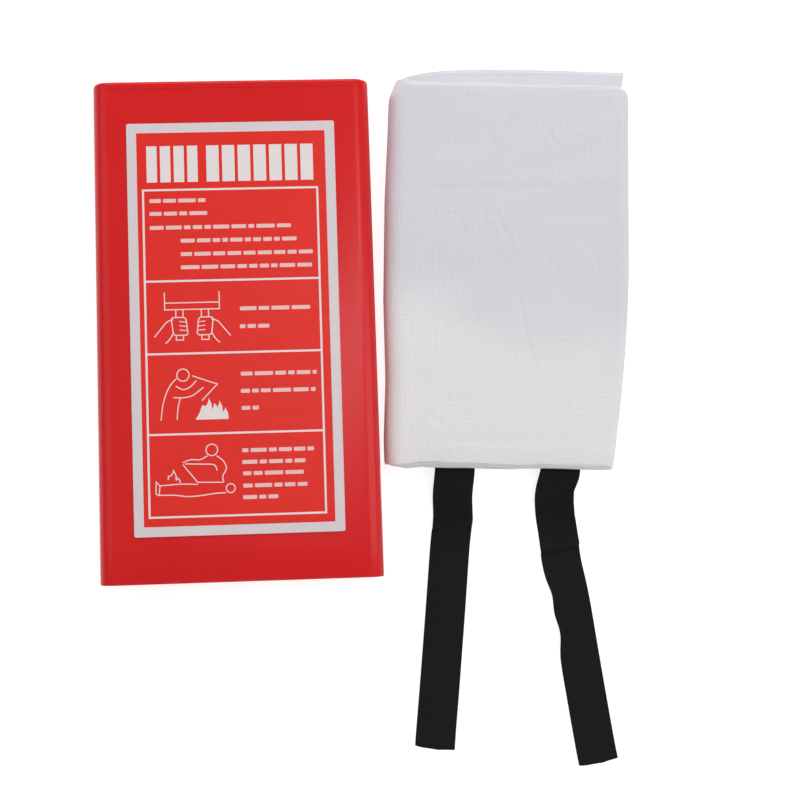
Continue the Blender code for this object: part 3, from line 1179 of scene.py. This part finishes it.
@dataclass
class FoldedBlanket:
    """One sheet of cloth, folded in five along and then in eight across, with a round book spine.

    Sizes are in millimetres in the pack's own axes.
    """

    finish: Finish
    axes: PackAxes
    width: float = 149.0
    length: float = 236.0
    plies: int = 5
    pitch: float = 0.55
    cloth: float = 0.36
    slip: float = 12.5
    slip_run: float = 15.0
    taper: float = 10.4
    taper_length: float = 125.0
    taper_power: float = 1.7
    end_radius: float = 3.2
    foot_corner: float = 6.5
    top_corner: float = 9.0
    crown: float = 0.35
    ripple_height: float = 0.075
    blend_margin: float = 0.2
    spine_squareness: float = 2.3
    thinned_end: float = 0.24
    thinned_run: float = 13.0
    end_droop: float = 1.1
    droop_run: float = 2.6
    hem_run: float = 16.0
    top_run: float = 14.0
    pulled_from: float = 30.0
    spine_run: float = 45.0
    back_tuck: float = 2.4
    fan_spread: float = 0.05
    seen_steps: int = 156
    hidden_steps: int = 14
    creases: tuple[Crease, ...] = (
        Crease((76.0, 20.0), (63.8, 44.0), 0.50, 1.5),
        Crease((103.5, 81.6), (96.0, 94.5), 0.42, 1.5),
        Crease((90.8, -50.4), (81.9, -17.2), 0.42, 1.6),
        Crease((52.0, 21.0), (41.5, 37.5), 0.22, 1.8),
        Crease((24.0, -88.0), (40.0, -97.0), 0.30, 2.6),
        Crease((121.0, 18.0), (129.0, 2.0), 0.22, 2.2),
        Crease((58.0, 88.0), (66.0, 76.0), 0.20, 2.0),
        Crease((146.0, 57.0), (6.0, 52.5), 0.24, 3.2),
        Crease((146.0, 39.0), (30.0, 36.5), 0.16, 2.6),
        Crease((10.0, -103.0), (136.0, -106.0), 0.22, 3.4))
    spine_wave: tuple[Point, ...] = (
        (-118.0, 0.2), (-100.0, 0.8), (-64.0, 0.0), (-15.0, 1.6), (47.0, 1.2), (91.0, -0.5), (104.0, -0.8),
        (109.0, -1.2), (118.0, -5.6))
    hem_wave: tuple[Point, ...] = (
        (0.0, 1.2), (7.0, 0.6), (13.0, 0.2), (20.0, 1.5), (31.0, 2.0), (38.0, 0.9), (52.0, 1.3), (67.0, 0.5),
        (80.0, 0.1), (95.0, 1.2), (113.0, 1.1), (133.0, 0.1), (149.0, 0.5))
    back_top: float = field(default_factory=lambda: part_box("blanket_back_half")[1].z / MM)
    front_foot: float = field(default_factory=lambda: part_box("blanket_front_half")[0].z / MM)
    front_top: float = field(default_factory=lambda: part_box("blanket_front_half")[1].z / MM)

    def section(self) -> FoldSection:
        """The way of the cloth's middle layer across the pack.

        Returns:
            The way.
        """
        group = self.plies * self.pitch
        levels = [group * (k + 0.5) for k in range(4)]
        levels += [self.front_foot + group * (k + 0.5) for k in range(4)]
        hub = (self.front_foot + self.back_top) / 2
        outer_edge = self.width - 2 * group
        inner_edge = self.width - group
        way = FoldSection()

        def spine(lower: int, upper: int, upward: bool) -> None:
            """A round fold at the spine between two of the levels.

            Args:
                lower: The level at one end.
                upper: The level at the other.
                upward: Go from the lower to the upper.
            """
            radius = (levels[upper] - levels[lower]) / 2
            way.fold((hub, hub), radius, -90.0 if upward else 90.0, -180.0 if upward else 180.0,
                     max(8, round(radius * 1.6)))

        way.straight(self.width - 0.6, hub, levels[0], 10)
        spine(0, 7, upward=True)
        way.straight(hub, outer_edge, levels[7], 104)
        way.fold((outer_edge, (levels[7] + levels[4]) / 2), (levels[7] - levels[4]) / 2, 90.0, -180.0, 12)
        way.straight(outer_edge, hub, levels[4], 10)
        spine(3, 4, upward=False)
        way.straight(hub, inner_edge, levels[3], 24)
        way.fold((inner_edge, (levels[3] + levels[2]) / 2), group / 2, 90.0, -180.0, 8)
        way.straight(inner_edge, hub, levels[2], 10)
        spine(2, 5, upward=True)
        way.straight(hub, outer_edge, levels[5], 10)
        way.fold((outer_edge, (levels[5] + levels[6]) / 2), group / 2, -90.0, 180.0, 8)
        way.straight(outer_edge, hub, levels[6], 10)
        spine(1, 6, upward=False)
        way.straight(hub, self.width - 0.9, levels[1], 10)
        return way

    def zigzag(self) -> Grid:
        """The way along the spine: rows of (y, height in the stack, normal along y, normal up the stack).

        Returns:
            The rows.
        """
        half = self.length / 2
        rows = []
        middle = self.plies // 2
        outermost = self.plies - 1
        for layer in range(self.plies):
            lift = (layer - middle) * self.pitch
            way = -1.0 if layer % 2 == 0 else 1.0
            count = self.seen_steps if layer == outermost else self.hidden_steps
            for k in range(count + 1):
                rows.append((way * half * (2 * k / count - 1), lift, 0.0, -way))
            if layer < outermost:
                for angle in np.radians([-60.0, -30.0, 0.0, 30.0, 60.0]):
                    reach = self.pitch / 2 * math.cos(angle)
                    rise = self.pitch / 2 * (1 + math.sin(angle))
                    rows.append((way * (half + reach), lift + rise, math.cos(angle), way * math.sin(angle)))
        return np.array(rows)

    def settle(self, x: Grid, y: Grid, z: Grid) -> tuple[Grid, Grid, Grid]:
        """Bend the ideal stack into the real one: soft ends, creases, the skewed spine and pulled-in edge.

        Args:
            x: Places across the pack.
            y: Places along the spine.
            z: Heights.

        Returns:
            The three, moved.
        """
        half = self.length / 2
        x, z = self.square_spine(x, z)
        in_front = z > (self.back_top + self.front_foot) / 2
        foot = np.where(in_front, self.front_foot, 0.0)
        top = np.where(in_front, self.front_top, self.back_top)
        from_face = np.minimum(np.abs(z - foot), np.abs(top - z))
        y = y * (1.0 - corner_inset(from_face, self.end_radius) / half)

        crown = self.crown * np.sin(np.pi * np.clip(x / self.width, 0, 1))
        crown = crown * np.cos(0.5 * np.pi * np.clip(y / half, -1, 1))
        face = crown + self.ripples(x, y) + sum(crease.height(x, y) for crease in self.creases)
        near_end = half - np.abs(y)
        droop = self.end_droop * np.exp(-np.clip(near_end, 0.0, None) / self.droop_run)
        front_share = np.clip((z - self.front_foot) / (self.front_top - self.front_foot), 0.0, 1.0)
        back_share = np.clip(z / self.back_top, 0.0, 1.0) * (1.0 - front_share)
        raised = z + (face - droop) * front_share ** 1.3 - 0.35 * droop * back_share

        at_foot = smooth_step(-y, half - self.hem_run, half)
        at_top = smooth_step(y, half - self.top_run, half)
        hem = np.interp(x, *zip(*self.hem_wave)) + 0.22 * np.sin(x / 3.4) * np.sin(x / 11.0 + 1.0)
        y = y + at_foot * (hem + corner_inset(x, self.foot_corner)) * (0.4 + 0.6 * front_share)
        y = y - at_top * corner_inset(self.width - x, self.top_corner) * in_front

        tapering = np.clip(1.0 - (y + half) / self.taper_length, 0.0, None)
        edge = self.width - self.taper * tapering ** self.taper_power
        start = self.pulled_from
        beyond = np.clip(x - start, 0.0, None)
        tuck_ends = (0.0, self.back_tuck, self.back_tuck, 0.0)
        tuck = np.interp(y, (10.0, 80.0, half - 12.0, half), tuck_ends) * ~in_front
        x = x - beyond + beyond * (edge - tuck - start) / (self.width - start)
        x = x - np.interp(y, *zip(*self.spine_wave)) * np.clip(1.0 - x / self.spine_run, 0.0, 1.0)

        slip = self.slip * (1.0 - np.exp(-np.clip(x, 0.0, None) / self.slip_run))
        reach = self.front_foot + (self.front_top - self.front_foot) * (1.0 - smooth_step(x, 7.0, 24.0))
        share = np.clip((z - self.back_top) / (reach - self.back_top), 0.0, 1.0)
        fan = 1.0 + self.fan_spread * np.sin(np.pi * np.clip((x - start) / 110.0, 0, 1)) * at_top
        below = 1.0 - share * share * (3.0 - 2.0 * share)
        raised = raised - self.thinned_end * raised * below * smooth_step(y, half - self.thinned_run, half)
        y = y + slip * fan * below
        return x, y, raised

    def square_spine(self, x: Grid, z: Grid) -> tuple[Grid, Grid]:
        """Push the spine's half circles out towards their corners.

        Args:
            x: Places across the pack.
            z: Heights.

        Returns:
            The two, moved.
        """
        hub = (self.front_foot + self.back_top) / 2
        out, up = np.minimum(x - hub, 0.0), z - hub
        reach = np.maximum(np.hypot(out, up), 1e-9)
        power = self.spine_squareness
        scale = ((np.abs(out) / reach) ** power + (np.abs(up) / reach) ** power) ** (-1.0 / power)
        scale = np.where(x < hub, scale, 1.0)
        return np.where(x < hub, hub + out * scale, x), hub + up * scale

    def ripples(self, x: Grid, y: Grid) -> Grid:
        """Soft swells of the face, from a few long waves.

        Args:
            x: Places across the pack.
            y: Places along the spine.

        Returns:
            The rise at each place.
        """
        source = random.Random(5)
        total = np.zeros_like(x)
        for _ in range(9):
            angle = source.uniform(0.0, math.pi)
            wave = source.uniform(26.0, 85.0)
            phase = source.uniform(0.0, 2 * math.pi)
            across = x * math.cos(angle) + y * math.sin(angle)
            total += self.ripple_height * np.sin(across * 2 * math.pi / wave + phase)
        return total

    def build(self) -> bpy.types.Object:
        """Make the sheet; it stands for both CAD halves.

        Returns:
            The blanket.
        """
        way = self.section()
        rows = self.zigzag()
        centre_x = np.array(way.x)[:, None]
        centre_z = np.array(way.z)[:, None]
        normal = np.array(way.normal)
        skins = []
        for side in (0.5, -0.5):
            lift = rows[:, 1] + side * self.cloth * rows[:, 3]
            x = centre_x + normal[:, :1] * lift
            z = centre_z + normal[:, 1:] * lift
            y = np.broadcast_to(rows[:, 0] + side * self.cloth * rows[:, 2], x.shape)
            skins.append(np.stack(self.settle(x, y, z), axis=-1))
        lowest = min(skin[..., 2].min() for skin in skins)
        points = np.concatenate([skin.reshape(-1, 3) for skin in skins])
        points[:, 2] -= min(0.0, lowest)
        mesh = bpy.data.meshes.new("folded_blanket")
        placed = [self.axes.to_frame(point * MM) for point in points]
        mesh.from_pydata(placed, [], self.faces(*skins[0].shape[:2]))
        steps_x = np.hypot(np.diff(way.x), np.diff(way.z))
        steps_y = np.hypot(np.diff(rows[:, 0]), np.diff(rows[:, 1]))
        flat_x = np.concatenate([[0.0], np.cumsum(steps_x)])
        flat_y = np.concatenate([[0.0], np.cumsum(steps_y)])
        woven = np.zeros((2, len(flat_x), len(flat_y), 3))
        woven[..., 0] = flat_x[None, :, None]
        woven[..., 1] = flat_y[None, None, :]
        store_woven_place(mesh, woven.reshape(-1, 3))
        blanket = place_mesh("folded_blanket", mesh, self.finish, 60.0)
        LOG.info("cloth is %.0f by %.0f mm when spread out", flat_x[-1], flat_y[-1])
        low = self.axes.to_frame((0.0, 0.0, (self.back_top + self.blend_margin) * MM))
        high = self.axes.to_frame((0.0, 0.0, (self.front_foot - self.blend_margin) * MM))
        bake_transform(blanket)
        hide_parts("blanket_back_half", "blanket_front_half")
        report(blanket)
        return blanket

    def faces(self, count_x: int, count_y: int) -> list[tuple[int, int, int, int]]:
        """Faces of both skins and of the four cut edges that join them.

        Args:
            count_x: Points across the way.
            count_y: Points along the spine.

        Returns:
            The faces, as point numbers.
        """
        index = np.arange(2 * count_x * count_y).reshape(2, count_x, count_y)
        faces = []
        for skin, grid in enumerate(index):
            quad = [grid[:-1, :-1], grid[1:, :-1], grid[1:, 1:], grid[:-1, 1:]]
            if skin == 0:
                quad.reverse()
            faces += np.stack(quad, axis=-1).reshape(-1, 4).tolist()
        edges = [(index[:, 0, :], False), (index[:, -1, :], True), (index[:, :, 0], True),
                 (index[:, :, -1], False)]
        for (near, far), flip in edges:
            quad = [near[:-1], near[1:], far[1:], far[:-1]]
            if flip:
                quad.reverse()
            faces += np.stack(quad, axis=-1).tolist()
        return faces


def store_woven_place(mesh: bpy.types.Mesh, places: Grid) -> None:
    """Keep each point's place on the flat cloth, in millimetres, on the mesh."""
    attribute = mesh.attributes.new(WOVEN, "FLOAT_VECTOR", "POINT")
    attribute.data.foreach_set("vector", places.astype(np.float32).ravel())


# ---------------------------------------------------------------- straps


@dataclass
class PullStrap:
    """A pull strap: one tape, sewn to the back half at its end, and the stitches that hold it.

    Its route is sideways and forward from the exit, in the pack's axes, in metres.
    """

    name: str
    body: str
    tape: Finish
    thread: Finish
    axes: PackAxes
    route: tuple[Point, ...]
    crease_at: float
    crease_skew: float
    end_slant: float
    curls: tuple[Triple, ...] = ()
    crease_lift: float = 2.2 * MM
    crease_rise: float = 3.4 * MM
    crease_fall: float = 0.8 * MM
    crease_shift: float = 0.7 * MM
    shift_run: float = 11.0 * MM
    width: float = 24.4 * MM
    thickness: float = 1.2 * MM
    drop_run: float = 30.0 * MM
    sewn_length: float = 42.0 * MM
    box_length: float = 20.0 * MM
    box_margin: float = 2.5 * MM
    stitch: float = 2.3 * MM
    stitch_gap: float = 0.7 * MM
    thread_radius: float = 0.21 * MM
    curl: float = 1.1 * MM
    end_run: float = 14.0 * MM
    swell: float = 0.35 * MM
    swell_run: float = 17.0 * MM
    dish: float = 0.10 * MM
    blend_before: float = 1.4 * MM
    blend_after: float = 2.6 * MM

    @property
    def exit(self) -> Vector:
        """Where the tape leaves the pack, in the pack's axes.

        Returns:
            The exit.
        """
        joint = next(joint for joint in frame["joints"] if joint["name"] == f"{self.name}_lift")
        place = Vector(joint["pos_m"]) - self.axes.origin
        return Vector((place.dot(self.axes.across), place.dot(self.axes.along), place.z))

    def middle_line(self) -> list[Vector]:
        """Points along the tape's middle, from its sewn end to its free end.

        Returns:
            The points.
        """
        leave = self.exit
        plan = smooth_path([(side, -forward, 0.0) for side, forward in self.route], 0.9 * MM)
        line = []
        sewn_steps = 20
        for k in range(sewn_steps):
            line.append(Vector((leave.x, leave.y + self.sewn_length * (1 - k / sewn_steps), leave.z)))
        travelled = 0.0
        total = sum((b - a).length for a, b in zip(plan, plan[1:]))
        for k, point in enumerate(plan):
            if k:
                travelled += (point - plan[k - 1]).length
            fall = float(smooth_step(travelled, 0.0, self.drop_run))
            z = leave.z + (self.thickness / 2 - leave.z) * fall
            swell = math.sin(travelled / self.swell_run) ** 2 * smooth_step(travelled, 42 * MM, 70 * MM)
            z += self.swell * float(swell)
            z += self.curl * float(smooth_step(travelled, total - self.end_run, total)) ** 2
            line.append(Vector((leave.x + point.x, leave.y + point.y, z)))
        return line

    def strip(self) -> bpy.types.Object:
        """The tape's mesh, a flat band with soft edges.

        Returns:
            The tape.
        """
        line = self.middle_line()
        half = self.width / 2
        across = (-1.0, -0.985, -0.94, -0.84, -0.5, -0.17, 0.17, 0.5, 0.84, 0.94, 0.985, 1.0)
        edge_start = 0.9
        rings = []
        woven = []
        travelled = 0.0
        total = sum((b - a).length for a, b in zip(line, line[1:]))
        for k, point in enumerate(line):
            before, after = line[max(k - 1, 0)], line[min(k + 1, len(line) - 1)]
            if k:
                travelled += (point - line[k - 1]).length
            heading = after - before
            side = Vector((-heading.y, heading.x, 0.0)).normalized()
            up = heading.cross(side).normalized()
            end_share = min(1.0, 0.55 + 0.45 * min(k, len(line) - 1 - k) / 1.5)
            top, bottom = [], []
            for share in across:
                fall = max(0.0, abs(share) - edge_start) / (1 - edge_start)
                thick = self.thickness / 2 * end_share * (math.sqrt(max(0.0, 1 - fall ** 2)) * 0.85 + 0.15)
                free = travelled - self.sewn_length
                pull, lift = self.edge_shape(free, share)
                from_end = (total - travelled) / MM
                near_end = float(smooth_step(-from_end, -self.end_run / MM, 0.0))
                slant = heading.normalized() * self.end_offset(share) * near_end
                base = point + side * (half * share + pull) + up * (self.dish * share ** 2 + lift) + slant
                top.append(base + up * thick)
                bottom.append(base - up * thick)
            rings.append([self.axes.to_frame(p) for p in top + bottom[::-1]])
            places = [(half * share / MM, travelled / MM, 0.0) for share in across]
            woven.extend(places + places[::-1])
        draft = MeshDraft()
        draft.loft(rings)
        tape = draft.build(f"{self.name}_tape", self.tape, 60.0)
        store_woven_place(tape.data, np.array(woven))
        self.flat_length = travelled
        return tape

    def edge_shape(self, free: float, share: float) -> tuple[float, float]:
        """How the tape strays from a flat band: its crease, a small shift there, and edges that curl up.

        Args:
            free: Distance from the exit along the tape.
            share: Place across the tape, from -1 to 1.

        Returns:
            The shift to the side and the rise.
        """
        beside = free - self.crease_at + self.crease_skew * share * self.width / 2
        slope = self.crease_rise if beside < 0 else self.crease_fall
        lift = self.crease_lift * math.exp(-(beside / slope) ** 2)
        pull = self.crease_shift * math.exp(-((free - self.crease_at * 0.86) / self.shift_run) ** 2)
        for middle, reach, depth in self.curls:
            flat = 0.3
            edge_share = max(0.0, share * math.copysign(1, depth) - flat) / (1 - flat)
            amount = math.exp(-((free - middle) / reach) ** 2) * edge_share
            pull -= depth * amount
            lift += abs(depth) * 0.9 * amount
        return pull, lift

    def end_offset(self, share: float) -> float:
        """How far the cut end stands out past its middle at a place across it."""
        bulge, ripple = 0.9 * MM, 0.25 * MM
        return self.end_slant * share - bulge * share ** 2 + ripple * math.sin(share * 7.0)

    def stitches(self) -> bpy.types.Object:
        """The box of stitches with its diagonals, each stitch a short rounded thread.

        Returns:
            The stitches.
        """
        leave = self.exit
        half_x = self.width / 2 - self.box_margin
        high = leave.y + self.sewn_length - self.box_margin
        low = high - self.box_length
        left, right = leave.x - half_x, leave.x + half_x
        corners = [(left, low), (right, low), (right, high), (left, high)]
        runs = list(zip(corners, corners[1:] + corners[:1]))
        runs += [(corners[0], corners[2]), (corners[1], corners[3])]
        draft = MeshDraft()
        level = leave.z + self.thickness / 2
        for start, end in runs:
            self.stitch_run(draft, Vector((*start, level)), Vector((*end, level)))
        return draft.build(f"{self.name}_stitches", self.thread, 60.0)

    def stitch_run(self, draft: MeshDraft, start: Vector, end: Vector) -> None:
        """One row of stitches from start to end.

        Args:
            draft: Where the stitches are gathered.
            start: Where the row starts.
            end: Where it ends.
        """
        span = end - start
        count = max(1, round(span.length / (self.stitch + self.stitch_gap)))
        way = span.normalized()
        side = Vector((-way.y, way.x, 0.0))
        pitch = span.length / count
        ring_steps, corners = 6, 8
        for k in range(count):
            rings = []
            for step in range(ring_steps + 1):
                share = step / ring_steps
                along = start + way * (pitch * k + self.stitch_gap / 2 + share * (pitch - self.stitch_gap))
                swell = math.sin(math.pi * (0.12 + 0.76 * share))
                radius = self.thread_radius * swell
                rise = 0.20 * MM * swell - 0.08 * MM
                ring = []
                for corner in range(corners):
                    angle = 2 * math.pi / corners * corner
                    offset = side * math.cos(angle) * radius * 1.25
                    offset += Vector((0, 0, math.sin(angle) * radius + rise))
                    ring.append(self.axes.to_frame(along + offset))
                rings.append(ring)
            draft.loft(rings)

    def build(self, blanket: bpy.types.Object) -> None:
        """Make the tape and its stitches.

        Args:
            blanket: The cloth that the tape is sewn to; not used.
        """
        tape = self.strip()
        leave = self.exit
        start = self.axes.to_frame((leave.x, leave.y + self.blend_before, leave.z))
        end = self.axes.to_frame((leave.x, leave.y - self.blend_after, leave.z))
        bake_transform(tape)
        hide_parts(self.name, f"{self.name}_sewn_end")
        sewing = self.stitches()
        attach(sewing, "blanket_back")
        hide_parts(f"{self.name}_stitching")
        LOG.info("%s is %.0f mm long", self.name, self.flat_length / MM)
        report(tape)
        report(sewing)


# ---------------------------------------------------------------- studio


@dataclass
class Studio:
    """Pale floor, soft lights on all sides with one narrow strip, and the camera."""

    floor: Finish
    camera_place: Triple = (0.0441, -0.10273, 0.950)
    camera_turns: tuple[tuple[str, float], ...] = (("X", 3.595), ("Y", -3.2335), ("Z", -1.5742))
    lens: float = 69.47
    sensor: float = 36.0
    middle: Triple = (0.08, -0.05, 0.0)

    def build(self) -> None:
        """Add everything that isn't part of the object."""
        self.add_floor()
        self.add_world(0.30)
        middle = self.middle
        self.add_light("strip", (0.43, 0.25, 1.55), (0.08, 0.1, 0.0), 0.13, 1.1, 4.2)
        self.add_light("right", (1.35, 0.0, 1.05), middle, 0.5, 1.6, 6.5)
        self.add_light("left", (-1.15, 0.2, 1.35), middle, 0.9, 1.4, 4.0)
        self.add_light("far", (0.1, 1.45, 0.85), middle, 1.6, 0.5, 14.5)
        self.add_light("near", (0.1, -1.55, 1.15), middle, 1.6, 0.6, 7.5)
        self.add_camera()

    def add_floor(self) -> None:
        """A broad plate under the object."""
        reach, thick, drop = 3.0, 0.02, 0.05 * MM
        x, y, _ = self.middle
        draft = MeshDraft()
        outline = [(x + sx * reach, y + sy * reach) for sx, sy in ((-1, -1), (1, -1), (1, 1), (-1, 1))]
        draft.prism(outline, -thick, -drop)
        draft.build("floor", self.floor)

    def add_world(self, strength: float) -> None:
        """An even white surround.

        Args:
            strength: How bright it is.
        """
        world = bpy.data.worlds.new("studio")
        world.use_nodes = True
        background = world.node_tree.nodes["Background"]
        background.inputs["Color"].default_value = (0.97, 0.98, 1.0, 1.0)
        background.inputs["Strength"].default_value = strength
        bpy.context.scene.world = world
        bpy.context.scene.view_settings.view_transform = "Standard"

    def add_light(self, name: str, place: Iterable[float], aim: Iterable[float], wide: float, tall: float,
                  power: float) -> None:
        """A soft rectangular light that faces a point.

        Args:
            name: The light's name.
            place: Where it stands.
            aim: The point that it faces.
            wide: Its size across.
            tall: Its size along Y or up.
            power: Its power in watts.
        """
        light = bpy.data.lights.new(name, "AREA")
        light.shape = "RECTANGLE"
        light.size = wide
        light.size_y = tall
        light.energy = power
        lamp = bpy.data.objects.new(name, light)
        lamp.location = place
        way = Vector(aim) - Vector(place)
        lamp.rotation_euler = way.to_track_quat("-Z", "Y").to_euler()
        bpy.context.collection.objects.link(lamp)

    def add_camera(self) -> None:
        """The camera, looking down on the set."""
        camera = bpy.data.cameras.new("camera")
        camera.lens = self.lens
        camera.sensor_width = self.sensor
        viewer = bpy.data.objects.new("camera", camera)
        turn = Matrix.Identity(4)
        for axis, degrees in self.camera_turns:
            turn = turn @ Matrix.Rotation(math.radians(degrees), 4, axis)
        viewer.matrix_world = Matrix.Translation(self.camera_place) @ turn
        bpy.context.collection.objects.link(viewer)
        bpy.context.scene.camera = viewer


# ---------------------------------------------------------------- everything


def report(piece: bpy.types.Object) -> None:
    """Log one finished piece."""
    LOG.info("%s: %d faces, %s", piece.name, len(piece.data.polygons), piece.data.materials[0].name)


def main() -> None:
    """Build the set and its studio."""
    logging.basicConfig(level=logging.INFO, format="%(message)s")
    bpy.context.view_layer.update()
    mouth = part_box("case_sleeve")[0].y
    plastic = MouldedPlastic("case_plastic", "red_plastic", (0.632, 0.0125, 0.0138), 0.21, mouth_y=mouth)
    film = PrintedFilm("label_film_surface", "print_film", (0.655, 0.588, 0.606), 0.34, mottle=0.02)
    red_ink = PrintedFilm("label_red_ink", "print_film", (0.715, 0.0190, 0.0110), 0.36)
    white_ink = PrintedFilm("label_white_ink", "print_film", (0.750, 0.675, 0.675), 0.38, mottle=0.02)
    fine_ink = PrintedFilm("label_fine_ink", "print_film", (0.78, 0.50, 0.48), 0.38, mottle=0.02)
    cloth = GlassCloth("glass_fibre_cloth", "glass_cloth", (0.782, 0.780, 0.826), 0.86)
    tape = Webbing("black_tape", "black_webbing", (0.0040, 0.0039, 0.0041), 0.80)
    thread = Thread("black_sewing_thread", "black_thread", (0.016, 0.016, 0.017), 0.62)
    axes = PackAxes.from_hinge()
    Studio(StudioFloor("pale_floor", "floor", (0.50, 0.50, 0.50), 0.90, glow=0.75)).build()
    Case(plastic).build()
    Label(film, red_ink, white_ink, fine_ink).build()
    blanket = FoldedBlanket(cloth, axes).build()
    left_route = ((0.0, 0.0), (-0.0009, 0.014), (-0.0008, 0.026), (-0.0012, 0.036), (-0.0058, 0.104),
                  (-0.0107, 0.1693))
    right_route = ((0.0, 0.0), (-0.0026, 0.013), (-0.0020, 0.024), (0.0013, 0.050), (0.0078, 0.080),
                   (0.0164, 0.130), (0.0250, 0.178))
    left = PullStrap("left_strap", "left_pull_strap", tape, thread, axes, left_route, 0.036,
                     crease_skew=0.23, end_slant=0.4 * MM)
    curls = ((0.010, 0.005, 0.9 * MM), (0.078, 0.009, -1.6 * MM), (0.101, 0.011, -2.3 * MM))
    right = PullStrap("right_strap", "right_pull_strap", tape, thread, axes, right_route, 0.050,
                      crease_skew=0.10, end_slant=-0.3 * MM, curls=curls)
    for strap in (left, right):
        strap.build(blanket)


if __name__ == "__main__":
    main()
